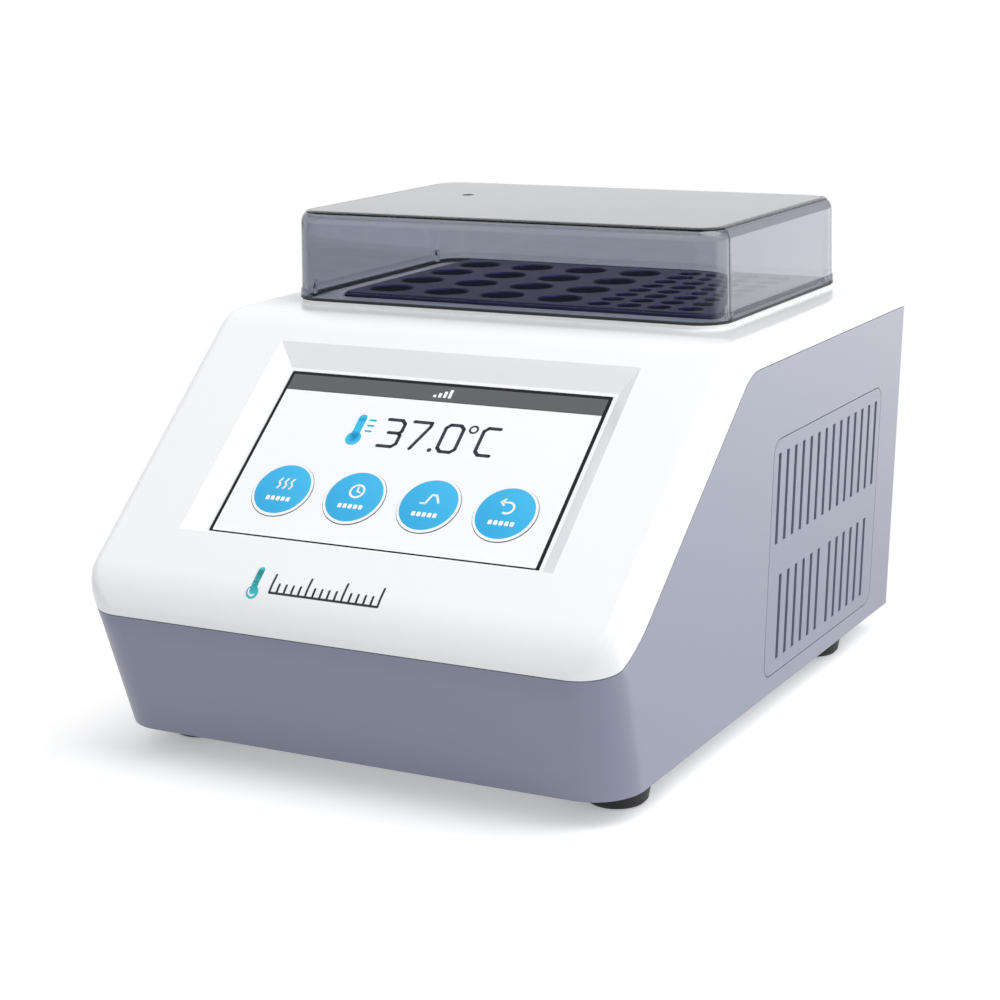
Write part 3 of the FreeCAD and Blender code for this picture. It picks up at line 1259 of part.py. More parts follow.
for k in range(int(s.heat_sink_fins)):
    fin_x = sink_x + k * (s.heat_sink_width - s.fin_thickness) / (s.heat_sink_fins - 1)
    sink.append(block(fin_x, fin_x + s.fin_thickness, sink_y, sink_y + s.heat_sink_depth, board_top,
                      board_top + s.heat_sink_height))
sub_part(feature("heat_sink_extrusion", joined(sink)), "heat_sink")
triac_places = [s.control_board_x + side * s.triac_spacing / 2 for side in (-1, 1)]
triacs = [block(x - s.triac_width / 2, x + s.triac_width / 2, sink_y - s.triac_depth, sink_y, board_top,
                board_top + s.triac_height) for x in triac_places]
sub_part(feature("triac_group", Part.makeCompound(triacs)), "power_triacs")

# Check every object, then write one file for each piece
doc.recompute()
for item in doc.Objects:
    failed = [state for state in item.State if state in ("Invalid", "Error")]
    if failed:
        raise RuntimeError("%s did not compute: %s" % (item.Name, failed))
for node, item in parts.items():
    if item.Shape.isNull() or not item.Shape.isValid():
        raise RuntimeError("%s has no valid shape" % node)
os.makedirs("parts", exist_ok=True)
for node, item in parts.items():
    item.Shape.exportStep("parts/%s.step" % node)
    print("%-20s solids %2d  volume %10.1f mm3" % (node, len(item.Shape.Solids), item.Shape.Volume))
print("%d sub-parts" % len(parts))
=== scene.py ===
"""Dry bath incubator: white and grey bench instrument with a touch screen, a clear lid and a drilled block.

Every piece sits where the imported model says, in metres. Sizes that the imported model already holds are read
from its nodes, and only what it lacks, such as chamfers, artwork and finishes, has values of its own here.
"""
from __future__ import annotations

import json
import logging
import math
from dataclasses import dataclass, field
from enum import Enum
from typing import Iterable, Protocol, Sequence

import bmesh
import bpy
from bmesh.types import BMesh
from bpy.types import Material, Mesh, Node, NodeSocket, NodeTree, Object
from mathutils import Matrix, Vector
from mathutils.bvhtree import BVHTree


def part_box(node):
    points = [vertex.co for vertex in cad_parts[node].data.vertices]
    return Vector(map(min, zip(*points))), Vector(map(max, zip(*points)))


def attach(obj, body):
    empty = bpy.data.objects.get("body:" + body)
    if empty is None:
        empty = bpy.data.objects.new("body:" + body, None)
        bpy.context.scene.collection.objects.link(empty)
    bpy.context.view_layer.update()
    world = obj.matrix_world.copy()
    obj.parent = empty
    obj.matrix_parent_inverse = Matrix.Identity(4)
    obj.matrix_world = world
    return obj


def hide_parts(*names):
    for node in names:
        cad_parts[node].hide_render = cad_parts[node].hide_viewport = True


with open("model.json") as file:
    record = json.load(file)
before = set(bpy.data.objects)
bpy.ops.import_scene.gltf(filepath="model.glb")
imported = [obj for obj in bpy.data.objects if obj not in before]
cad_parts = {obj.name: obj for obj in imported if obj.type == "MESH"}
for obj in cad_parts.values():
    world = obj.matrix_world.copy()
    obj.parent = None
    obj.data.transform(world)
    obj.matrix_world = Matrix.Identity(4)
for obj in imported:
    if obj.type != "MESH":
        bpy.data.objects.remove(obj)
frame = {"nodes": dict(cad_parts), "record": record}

LOG = logging.getLogger("incubator")

Colour = tuple[float, float, float]
Spot = tuple[float, float]
Size = tuple[float, float, float]
Term = NodeSocket | float

# Lengths in metres, angles in degrees and other values that several pieces share
MM = 0.001
PACKED_WELD = 0.002 * MM
GROWN_WELD = 0.01 * MM
INK_WELD = 0.001 * MM
FLAT_ANGLE = 0.6
SHARP_ANGLE = 35.0
SCREEN_TILT = 39.0
QUARTER_TURN = 90.0
FULL_TURN = 360.0
SORT_DIGITS = 5

WHITE: Colour = (1.0, 1.0, 1.0)

# Socket types of node groups
NUMBER = "NodeSocketFloat"
WHOLE = "NodeSocketInt"
VECTOR = "NodeSocketVector"
MATERIAL = "NodeSocketMaterial"
GEOMETRY = "NodeSocketGeometry"


class Body(Enum):
    """Rigid bodies that a piece can ride on."""

    HOUSING = "housing"
    LID = "lid"
    BLOCK = "block"
    ROCKER = "rocker"


class Slot(Enum):
    """Material slots of the record that new pieces take their finish from."""

    COVER = "cover_white"
    BASE = "base_grey"
    VENT = "vent_grey"
    GLASS = "screen_glass"
    LID = "clear_lid"
    BLOCK = "block_anodised"
    RUBBER = "black_rubber"
    ALUMINIUM = "bare_aluminium"
    SHEET = "zinc_sheet"
    SCREW = "steel_screws"
    BLACK = "black_plastic"
    BOARD = "board_green"
    SILICONE = "silicone_red"
    FOAM = "foam_grey"
    FUSE = "fuse_glass"
    CORE = "core_dark"


# Node trees


class NodeKit:
    """Short calls for building a node tree.

    Args:
        tree: The node tree to fill; it is emptied first.
    """

    def __init__(self, tree: NodeTree) -> None:
        """Empty the tree and keep it."""
        self.tree = tree
        tree.nodes.clear()

    def fill(self, node: Node, **inputs: object) -> None:
        """Set or link inputs of a node.

        Args:
            node: The node.
            inputs: Values or sockets, by input name with spaces as underscores, or i0, i1 by place.
        """
        for name, value in inputs.items():
            by_place = name[0] == "i" and name[1:].isdigit()
            socket = node.inputs[int(name[1:]) if by_place else name.replace("_", " ")]
            if isinstance(value, NodeSocket):
                self.tree.links.new(value, socket)
            else:
                socket.default_value = value

    def add(self, kind: str, settings: dict[str, object] | None = None, **inputs: object) -> Node:
        """Add a node.

        Args:
            kind: Node type.
            settings: Properties set on the node itself.
            inputs: Input values or sockets, named as in fill.

        Returns:
            The new node.
        """
        node = self.tree.nodes.new(kind)
        for name, value in (settings or {}).items():
            setattr(node, name, value)
        self.fill(node, **inputs)
        return node

    def math(self, operation: str, *terms: Term) -> NodeSocket:
        """Add a math node on up to three terms and return its result."""
        inputs = {f"i{place}": term for place, term in enumerate(terms)}
        return self.add("ShaderNodeMath", {"operation": operation}, **inputs).outputs[0]

    def vector_math(self, operation: str, *terms: NodeSocket | Size) -> Node:
        """Add a vector math node on up to two terms."""
        inputs = {f"i{place}": term for place, term in enumerate(terms)}
        return self.add("ShaderNodeVectorMath", {"operation": operation}, **inputs)

    def part_of(self, vector: NodeSocket, axis: str) -> NodeSocket:
        """Return the X, Y or Z of a vector."""
        return self.add("ShaderNodeSeparateXYZ", Vector=vector).outputs[axis]

    def negative(self, value: Term) -> NodeSocket:
        """Return a value with its sign turned."""
        return self.math("MULTIPLY", value, -1.0)

    def raised(self, geometry: NodeSocket, level: Term) -> NodeSocket:
        """Return a geometry moved along z by a level."""
        place = self.add("ShaderNodeCombineXYZ", Z=level).outputs[0]
        return self.add("GeometryNodeTransform", Geometry=geometry, Translation=place).outputs[0]

    def joined(self, parts: Iterable[NodeSocket]) -> NodeSocket:
        """Join several geometries.

        Args:
            parts: The geometries.

        Returns:
            All of them as one geometry.
        """
        whole = self.add("GeometryNodeJoinGeometry")
        for part in parts:
            self.tree.links.new(part, whole.inputs[0])
        return whole.outputs[0]


def new_group(name: str, inputs: Sequence[tuple[str, str, float]],
              outputs: Sequence[str]) -> tuple[NodeTree, NodeKit, Node]:
    """Start a shader node group.

    Args:
        name: Name of the group.
        inputs: Name, socket type and default of each input.
        outputs: Name of each output, all of them numbers.

    Returns:
        The tree, a kit on it and its group input node.
    """
    tree = bpy.data.node_groups.new(name, "ShaderNodeTree")
    for label, kind, default in inputs:
        socket = tree.interface.new_socket(label, in_out="INPUT", socket_type=kind)
        if kind == NUMBER:
            socket.default_value = default
    for label in outputs:
        tree.interface.new_socket(label, in_out="OUTPUT", socket_type=NUMBER)
    kit = NodeKit(tree)
    return tree, kit, kit.add("NodeGroupInput")


@dataclass(frozen=True)
class Noise:
    """Character of a noise pattern."""

    detail: float
    roughness: float
    distortion: float = 0.0

    def add(self, kit: NodeKit, place: NodeSocket, scale: NodeSocket) -> NodeSocket:
        """Add the pattern to a tree and return its value."""
        return kit.add("ShaderNodeTexNoise", Vector=place, Scale=scale, Detail=self.detail,
                       Roughness=self.roughness, Distortion=self.distortion).outputs["Fac"]


class SurfaceEffects:
    """Shared shader node groups, each built once."""

    grain = Noise(3.0, 0.6)
    cloud = Noise(4.0, 0.55)
    lines = Noise(2.0, 0.5)
    smears = Noise(6.0, 0.7, 1.5)
    middle_value = 0.5
    shade_swing = 0.03
    line_stretch = (0.02, 1.0, 1.0)
    smear_span = (0.5, 0.75)

    def __init__(self) -> None:
        """Build every group."""
        self.moulding = self._moulding()
        self.brushing = self._brushing()
        self.handling = self._handling()

    def _uneven(self, kit: NodeKit, pattern: NodeSocket, source: Node) -> tuple[NodeSocket, NodeSocket]:
        """Let a pattern vary the roughness about its given value.

        Args:
            kit: Kit on the group's tree.
            pattern: Value of the pattern, about a half.
            source: The group's input node, which gives the roughness and its unevenness.

        Returns:
            The pattern's swing about zero, and the varied roughness.
        """
        swing = kit.math("SUBTRACT", pattern, self.middle_value)
        change = kit.math("MULTIPLY", swing, source.outputs["Unevenness"])
        return swing, kit.math("ADD", source.outputs["Roughness"], change)

    def _moulding(self) -> NodeTree:
        """Fine moulded grain with a slow change of gloss over the part.

        Returns:
            The group.
        """
        tree, kit, source = new_group(
            "moulded_surface",
            [("Place", VECTOR, 0.0), ("Grain Scale", NUMBER, 2500.0), ("Cloud Scale", NUMBER, 12.0),
             ("Roughness", NUMBER, 0.3), ("Unevenness", NUMBER, 0.08)],
            ["Height", "Roughness", "Shade"])
        place = source.outputs["Place"]
        grain = self.grain.add(kit, place, source.outputs["Grain Scale"])
        cloud = self.cloud.add(kit, place, source.outputs["Cloud Scale"])
        swing, rough = self._uneven(kit, cloud, source)
        shade = kit.math("MULTIPLY_ADD", swing, self.shade_swing, 1.0)
        kit.add("NodeGroupOutput", Height=grain, Roughness=rough, Shade=shade)
        return tree

    def _brushing(self) -> NodeTree:
        """Fine parallel lines, as on rolled or brushed metal.

        Returns:
            The group.
        """
        tree, kit, source = new_group(
            "brushed_surface",
            [("Place", VECTOR, 0.0), ("Line Scale", NUMBER, 900.0), ("Roughness", NUMBER, 0.35),
             ("Unevenness", NUMBER, 0.15)],
            ["Height", "Roughness"])
        stretched = kit.vector_math("MULTIPLY", source.outputs["Place"], self.line_stretch).outputs[0]
        lines = self.lines.add(kit, stretched, source.outputs["Line Scale"])
        _, rough = self._uneven(kit, lines, source)
        kit.add("NodeGroupOutput", Height=lines, Roughness=rough)
        return tree

    def _handling(self) -> NodeTree:
        """Faint smears that handling leaves on a glossy surface.

        Returns:
            The group.
        """
        tree, kit, source = new_group(
            "handled_surface",
            [("Place", VECTOR, 0.0), ("Smear Scale", NUMBER, 40.0), ("Roughness", NUMBER, 0.05),
             ("Smear", NUMBER, 0.05)],
            ["Roughness"])
        smears = self.smears.add(kit, source.outputs["Place"], source.outputs["Smear Scale"])
        low, high = self.smear_span
        mask = kit.add("ShaderNodeMapRange", Value=smears, From_Min=low, From_Max=high).outputs["Result"]
        amount = kit.math("MULTIPLY", mask, source.outputs["Smear"])
        kit.add("NodeGroupOutput", Roughness=kit.math("ADD", source.outputs["Roughness"], amount))
        return tree


EFFECTS = SurfaceEffects()


def place_group(kit: NodeKit, group: NodeTree, **inputs: float) -> Node:
    """Put a shared group in a material, on the piece's Object coordinates."""
    place = kit.add("ShaderNodeTexCoord").outputs["Object"]
    return kit.add("ShaderNodeGroup", {"node_tree": group}, Place=place, **inputs)


def new_material(name: str) -> tuple[Material, NodeKit, Node, Node]:
    """Start a material with a Principled shader.

    Args:
        name: Name of the material.

    Returns:
        The material, its kit, its Principled node and its output node.
    """
    material = bpy.data.materials.new(name)
    material.use_nodes = True
    kit = NodeKit(material.node_tree)
    shader = kit.add("ShaderNodeBsdfPrincipled")
    output = kit.add("ShaderNodeOutputMaterial", Surface=shader.outputs["BSDF"])
    return material, kit, shader, output


def add_bump(kit: NodeKit, shader: Node, height: NodeSocket, depth: float) -> None:
    """Drive the shader's normal with a height in metres."""
    bump = kit.add("ShaderNodeBump", Height=height, Distance=depth)
    kit.fill(shader, Normal=bump.outputs["Normal"])


def opaque(colour: Colour) -> tuple[float, float, float, float]:
    """Return a colour with full cover."""
    return (*colour, 1.0)


# Finishes


class Finish(Protocol):
    """What every finish has: a name, and a way to make its material."""

    name: str

    def build(self) -> Material:
        """Make the material."""


@dataclass(frozen=True)
class Moulding:
    """Moulded plastic or rubber."""

    name: str
    colour: Colour
    roughness: float = 0.3
    unevenness: float = 0.06
    grain_scale: float = 2500.0
    grain_depth: float = 0.00002
    coat: float = 0.0
    coat_roughness: float = 0.08
    specular: float = 0.5

    def build(self) -> Material:
        """Make the material.

        Returns:
            The material.
        """
        material, kit, shader, _ = new_material(self.name)
        surface = place_group(kit, EFFECTS.moulding, Grain_Scale=self.grain_scale, Roughness=self.roughness,
                              Unevenness=self.unevenness)
        tint = kit.vector_math("SCALE", self.colour)
        kit.fill(tint, Scale=surface.outputs["Shade"])
        kit.fill(shader, Base_Color=tint.outputs[0], Roughness=surface.outputs["Roughness"],
                 Specular_IOR_Level=self.specular, Coat_Weight=self.coat, Coat_Roughness=self.coat_roughness)
        add_bump(kit, shader, surface.outputs["Height"], self.grain_depth)
        return material


@dataclass(frozen=True)
class BareMetal:
    """Rolled, milled, plated or anodised metal."""

    name: str
    colour: Colour
    roughness: float = 0.35
    unevenness: float = 0.15
    line_scale: float = 900.0
    line_depth: float = 0.00001

    def build(self) -> Material:
        """Make the material.

        Returns:
            The material.
        """
        material, kit, shader, _ = new_material(self.name)
        surface = place_group(kit, EFFECTS.brushing, Line_Scale=self.line_scale, Roughness=self.roughness,
                              Unevenness=self.unevenness)
        kit.fill(shader, Base_Color=opaque(self.colour), Metallic=1.0, Roughness=surface.outputs["Roughness"])
        add_bump(kit, shader, surface.outputs["Height"], self.line_depth)
        return material


@dataclass(frozen=True)
class ClearSheet:
    """Clear or tinted see-through plastic or glass that lets its own light through to what it covers."""

    name: str
    tint: Colour
    shadow_tint: Colour
    roughness: float = 0.02
    smear: float = 0.04
    ior: float = 1.49
    smoke: Colour = WHITE
    smoke_density: float = 0.0

    def build(self) -> Material:
        """Make the material, with smoke in its thickness where it has a density.

        Returns:
            The material.
        """
        material, kit, shader, output = new_material(self.name)
        surface = place_group(kit, EFFECTS.handling, Roughness=self.roughness, Smear=self.smear)
        kit.fill(shader, Base_Color=opaque(self.tint), Transmission_Weight=1.0, IOR=self.ior,
                 Roughness=surface.outputs["Roughness"])
        passing = kit.add("ShaderNodeBsdfTransparent", Color=opaque(self.shadow_tint))
        rays = kit.add("ShaderNodeLightPath")
        mixed = kit.add("ShaderNodeMixShader", i0=rays.outputs["Is Shadow Ray"], i1=shader.outputs["BSDF"],
                        i2=passing.outputs["BSDF"])
        kit.fill(output, Surface=mixed.outputs["Shader"])
        if self.smoke_density > 0.0:
            smoke = kit.add("ShaderNodeVolumeAbsorption", Color=opaque(self.smoke),
                            Density=self.smoke_density)
            kit.fill(output, Volume=smoke.outputs["Volume"])
        return material


@dataclass(frozen=True)
class LitInk:
    """Glossy screen artwork that glows a little, as a lit display does."""

    name: str
    colour: Colour
    glow: float = 0.35
    roughness: float = 0.08
    smear: float = 0.05
    far_colour: Colour | None = None
    fade_reach: float = 1.4

    def build(self) -> Material:
        """Make the material; a far colour shades in along the stored attribute across.

        Returns:
            The material.
        """
        material, kit, shader, _ = new_material(self.name)
        surface = place_group(kit, EFFECTS.handling, Roughness=self.roughness, Smear=self.smear)
        across = kit.add("ShaderNodeAttribute", {"attribute_name": "across"})
        share = kit.add("ShaderNodeMapRange", Value=across.outputs["Fac"], From_Min=-self.fade_reach,
                        From_Max=self.fade_reach)
        # Inputs 6 and 7 hold the colours that are mixed
        mixed = kit.add("ShaderNodeMix", {"data_type": "RGBA"}, i0=share.outputs["Result"],
                        i6=opaque(self.colour), i7=opaque(self.far_colour or self.colour))
        ink = next(socket for socket in mixed.outputs if socket.type == "RGBA")
        kit.fill(shader, Base_Color=ink, Emission_Color=ink, Emission_Strength=self.glow,
                 Roughness=surface.outputs["Roughness"])
        return material


FINISHES: dict[Slot, Finish] = {
    Slot.COVER: Moulding("cover_white", (0.915, 0.915, 0.915), roughness=0.24, unevenness=0.05, coat=0.3),
    Slot.BASE: Moulding("base_grey", (0.240, 0.254, 0.335), roughness=0.34, coat=0.2, coat_roughness=0.12),
    Slot.VENT: Moulding("vent_grey", (0.240, 0.254, 0.335), roughness=0.36, coat=0.15, coat_roughness=0.14),
    Slot.GLASS: Moulding("screen_black_glass", (0.004, 0.004, 0.005), roughness=0.05, unevenness=0.02,
                         grain_depth=0.0, specular=0.2),
    Slot.LID: ClearSheet("smoky_acrylic", (0.97, 0.97, 0.98), (0.92, 0.92, 0.93), smoke=(0.0, 0.06, 0.19),
                         smoke_density=240.0),
    Slot.BLOCK: BareMetal("anodised_block", (0.028, 0.024, 0.125), roughness=0.38, unevenness=0.08),
    Slot.RUBBER: Moulding("black_rubber", (0.018, 0.018, 0.019), roughness=0.62, grain_depth=0.00004),
    Slot.ALUMINIUM: BareMetal("milled_aluminium", (0.78, 0.78, 0.79), roughness=0.3),
    Slot.SHEET: BareMetal("zinc_sheet", (0.62, 0.63, 0.65), roughness=0.38, unevenness=0.2),
    Slot.SCREW: BareMetal("steel_fasteners", (0.6, 0.6, 0.62), roughness=0.28),
    Slot.BLACK: Moulding("black_plastic", (0.022, 0.022, 0.024), roughness=0.42, grain_depth=0.00004),
    Slot.BOARD: Moulding("board_green", (0.02, 0.14, 0.06), roughness=0.28, coat=0.5),
    Slot.SILICONE: Moulding("silicone_red", (0.42, 0.05, 0.03), roughness=0.55),
    Slot.FOAM: Moulding("foam_grey", (0.42, 0.42, 0.40), roughness=0.9, grain_scale=400.0,
                        grain_depth=0.0004),
    Slot.FUSE: ClearSheet("fuse_glass", (0.95, 0.96, 0.95), (0.9, 0.9, 0.9), smear=0.0),
    Slot.CORE: Moulding("varnished_core", (0.06, 0.06, 0.065), roughness=0.4),
}


class Palette:
    """The finishes as materials, each built when it is first asked for."""

    def __init__(self) -> None:
        """Start with no material made."""
        self._made: dict[str, Material] = {}

    def of(self, finish: Finish) -> Material:
        """Return the material of a finish.

        Args:
            finish: The finish.

        Returns:
            Its material, the same one each time.
        """
        if finish.name not in self._made:
            self._made[finish.name] = finish.build()
        return self._made[finish.name]

    def slot(self, slot: Slot) -> Material:
        """Return the material of a slot."""
        return self.of(FINISHES[slot])


PALETTE = Palette()


# Pieces


def finish_piece(piece: Object, body: Body, slot: Slot, finish: Finish | None = None) -> Object:
    """Dress a new piece and tie it to its body.

    Args:
        piece: The piece.
        body: The body that it rides on.
        slot: The slot whose finish it wears where no finish is given.
        finish: Its finish, where it isn't the slot's own.

    Returns:
        The same piece.
    """
    piece.data.materials.clear()
    piece.data.materials.append(PALETTE.of(finish or FINISHES[slot]))
    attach(piece, body.value)
    LOG.info("%s: %d faces on %s", piece.name, len(piece.data.polygons), body.value)
    return piece


def link_object(name: str, data: bpy.types.ID) -> Object:
    """Add an object to the scene at the origin.

    Args:
        name: Name of the object.
        data: Its mesh, lamp or camera data.

    Returns:
        The object.
    """
    thing = bpy.data.objects.new(name, data)
    bpy.context.scene.collection.objects.link(thing)
    return thing


def mesh_piece(name: str, shape: BMesh, smooth_angle: float = SHARP_ANGLE) -> Object:
    """Turn a bmesh into an object with smooth faces and sharp edges past an angle.

    Args:
        name: Name of the object.
        shape: The bmesh, which is freed.
        smooth_angle: Edges sharper than this many degrees stay sharp.

    Returns:
        The object.
    """
    mesh = bpy.data.meshes.new(name)
    shape.to_mesh(mesh)
    shape.free()
    for polygon in mesh.polygons:
        polygon.use_smooth = True
    mesh.set_sharp_from_angle(angle=math.radians(smooth_angle))
    return link_object(name, mesh)


def bake_modifiers(piece: Object) -> Object:
    """Replace a piece's mesh with its evaluated mesh and remove its modifiers.

    Args:
        piece: The piece.

    Returns:
        The same piece.
    """
    graph = bpy.context.evaluated_depsgraph_get()
    mesh = bpy.data.meshes.new_from_object(piece.evaluated_get(graph), depsgraph=graph)
    mesh.name = piece.name
    piece.modifiers.clear()
    old, piece.data = piece.data, mesh
    bpy.data.meshes.remove(old)
    return piece


def flat_regions(shape: BMesh) -> list[int]:
    """Find the flat regions of a mesh.

    Args:
        shape: The mesh, whose faces have up-to-date numbers.

    Returns:
        For each face, the number of the face that stands for its region.
    """
    leader = list(range(len(shape.faces)))

    def lead(index: int) -> int:
        """Return the face that stands for a face's flat region."""
        while leader[index] != index:
            leader[index] = leader[leader[index]]
            index = leader[index]
        return index

    flat = math.radians(FLAT_ANGLE)
    for edge in shape.edges:
        if len(edge.link_faces) == 2 and edge.calc_face_angle(math.pi) < flat:
            leader[lead(edge.link_faces[0].index)] = lead(edge.link_faces[1].index)
    return [lead(index) for index in range(len(leader))]


def shade_by_regions(piece: Object, angle: float) -> None:
    """Shade a mesh by the sizes of its flat regions, so that a rounded edge runs evenly into a flat face.

    Args:
        piece: The piece, whose split normals are set.
        angle: Faces that meet at more than this many degrees aren't shaded into each other.
    """
    shape = bmesh.new()
    shape.from_mesh(piece.data)
    shape.faces.ensure_lookup_table()
    regions = flat_regions(shape)
    areas = dict.fromkeys(regions, 0.0)
    for face in shape.faces:
        areas[regions[face.index]] += face.calc_area()
    limit = math.cos(math.radians(angle))
    normals = []
    for face in shape.faces:
        for loop in face.loops:
            counted = {regions[face.index]}
            total = face.normal * areas[regions[face.index]]
            for other in loop.vert.link_faces:
                region = regions[other.index]
                if region not in counted and other.normal.dot(face.normal) > limit:
                    counted.add(region)
                    total += other.normal * areas[region]
            normals.append(total.normalized())
    shape.free()
    piece.data.normals_split_custom_set(normals)


def welded(node: str) -> BMesh:
    """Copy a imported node's mesh and weld its points.

    Args:
        node: The node.

    Returns:
        The copy.
    """
    shape = bmesh.new()
    shape.from_mesh(frame["nodes"][node].data)
    bmesh.ops.remove_doubles(shape, verts=shape.verts, dist=PACKED_WELD)
    return shape


def smooth_copy(node: str, name: str, body: Body, slot: Slot, angle: float) -> Object:
    """Stand in for a node with a welded, smoothly shaded copy of its mesh.

    Args:
        node: The node that is copied and replaced.
        name: Name of the new piece.
        body: The body that it rides on.
        slot: The slot that gives its finish.
        angle: Edges sharper than this many degrees stay sharp.

    Returns:
        The new piece.
    """
    piece = mesh_piece(name, welded(node), angle)
    shade_by_regions(piece, angle)
    finish_piece(piece, body, slot)
    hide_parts(node)
    return piece


def dress_nodes() -> None:
    """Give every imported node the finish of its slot."""
    for row in frame["record"]["subparts"]:
        mesh = frame["nodes"][row["node"]].data
        mesh.materials.clear()
        mesh.materials.append(PALETTE.slot(Slot(row["material_slot"])))


def around(x: float, y: float, radius: float, angle: float) -> Spot:
    """Return a point on a circle, at an angle in radians."""
    return x + radius * math.cos(angle), y + radius * math.sin(angle)


def box_of(node: str) -> tuple[Vector, Vector]:
    """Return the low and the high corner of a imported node."""
    low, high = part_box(node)
    return Vector(low), Vector(high)


# Grown pieces


def new_tree(name: str, inputs: Sequence[tuple[str, str]]) -> tuple[NodeTree, NodeKit, Node]:
    """Start a geometry node tree.

    Args:
        name: Name of the tree.
        inputs: Name and socket type of each input.

    Returns:
        The tree, a kit on it and its group input node.
    """
    tree = bpy.data.node_groups.new(name, "GeometryNodeTree")
    for label, kind in inputs:
        tree.interface.new_socket(label, in_out="INPUT", socket_type=kind)
    tree.interface.new_socket("Geometry", in_out="OUTPUT", socket_type=GEOMETRY)
    kit = NodeKit(tree)
    return tree, kit, kit.add("NodeGroupInput")


def end_tree(kit: NodeKit, geometry: NodeSocket, material: NodeSocket) -> None:
    """End a geometry node tree: instances made real, smooth shading on, material set.

    Args:
        kit: Kit on the tree.
        geometry: What the tree has made.
        material: The material that it wears.
    """
    real = kit.add("GeometryNodeRealizeInstances", Geometry=geometry)
    smooth = kit.add("GeometryNodeSetShadeSmooth", Geometry=real.outputs[0])
    dressed = kit.add("GeometryNodeSetMaterial", Geometry=smooth.outputs[0], Material=material)
    kit.add("NodeGroupOutput", Geometry=dressed.outputs[0])


def grow_piece(name: str, tree: NodeTree, finish: Finish, base: Mesh | None = None,
               **values: object) -> Object:
    """Build a piece with a geometry node tree and keep the mesh that comes out.

    Args:
        name: Name of the piece.
        tree: The tree, whose inputs are set by name.
        finish: Finish that the tree sets.
        base: Mesh that the tree starts from, empty if none.
        values: Input values, by input name with spaces as underscores.

    Returns:
        The piece, with no modifier left.
    """
    piece = link_object(name, base or bpy.data.meshes.new(name))
    grown = piece.modifiers.new("grown", "NODES")
    grown.node_group = tree
    given = {label.replace("_", " "): value for label, value in values.items()}
    given["Material"] = PALETTE.of(finish)
    for socket in tree.interface.items_tree:
        if socket.in_out == "INPUT" and socket.name in given:
            grown[socket.identifier] = given[socket.name]
    return bake_modifiers(piece)


def sharpen(piece: Object, angle: float = SHARP_ANGLE) -> None:
    """Weld a grown piece, turn its faces outward and keep edges past an angle sharp.

    Args:
        piece: The piece.
        angle: Edges sharper than this many degrees stay sharp.
    """
    shape = bmesh.new()
    shape.from_mesh(piece.data)
    bmesh.ops.remove_doubles(shape, verts=shape.verts, dist=GROWN_WELD)
    bmesh.ops.recalc_face_normals(shape, faces=shape.faces)
    shape.to_mesh(piece.data)
    shape.free()
    piece.data.set_sharp_from_angle(angle=math.radians(angle))


# Hull


@dataclass(frozen=True)
class Hull:
    """White top cover over the blue-grey base."""

    smooth_angle: float = 28.0

    def build(self) -> None:
        """Make both mouldings with softly shaded edges."""
        smooth_copy("top_cover", "cover_moulding", Body.HOUSING, Slot.COVER, self.smooth_angle)
        smooth_copy("base_shell", "base_moulding", Body.HOUSING, Slot.BASE, self.smooth_angle)


# Prints


@dataclass(frozen=True)
class Slope:
    """Flat face tilted about the x axis, with x across and s up the slope, in metres."""

    centre: Vector
    tilt: float

    @property
    def up(self) -> Vector:
        """Direction up the slope."""
        return Vector((0.0, math.cos(self.tilt), math.sin(self.tilt)))

    @property
    def normal(self) -> Vector:
        """Direction out of the slope."""
        return Vector((0.0, -math.sin(self.tilt), math.cos(self.tilt)))

    def point(self, across: float, up: float, lift: float = 0.0) -> Vector:
        """Return the place of a point on the slope."""
        return self.centre + Vector((across, 0.0, 0.0)) + up * self.up + lift * self.normal


def slope_of(node: str, tilt: float) -> tuple[Slope, float, float]:
    """Find the outer face of a node that lies on a slope of a known tilt.

    Args:
        node: The node.
        tilt: The tilt in radians.

    Returns:
        The face, centred on the node, and half its width and half its height in metres.
    """
    flat = Slope(Vector(), tilt)
    points = [vertex.co for vertex in frame["nodes"][node].data.vertices]
    top = max(point.dot(flat.normal) for point in points)
    ups = [point.dot(flat.up) for point in points]
    acrosses = [point.x for point in points]
    centre = Vector(((min(acrosses) + max(acrosses)) / 2, 0.0, 0.0))
    centre += flat.up * (min(ups) + max(ups)) / 2 + flat.normal * top
    return Slope(centre, tilt), (max(acrosses) - min(acrosses)) / 2, (max(ups) - min(ups)) / 2


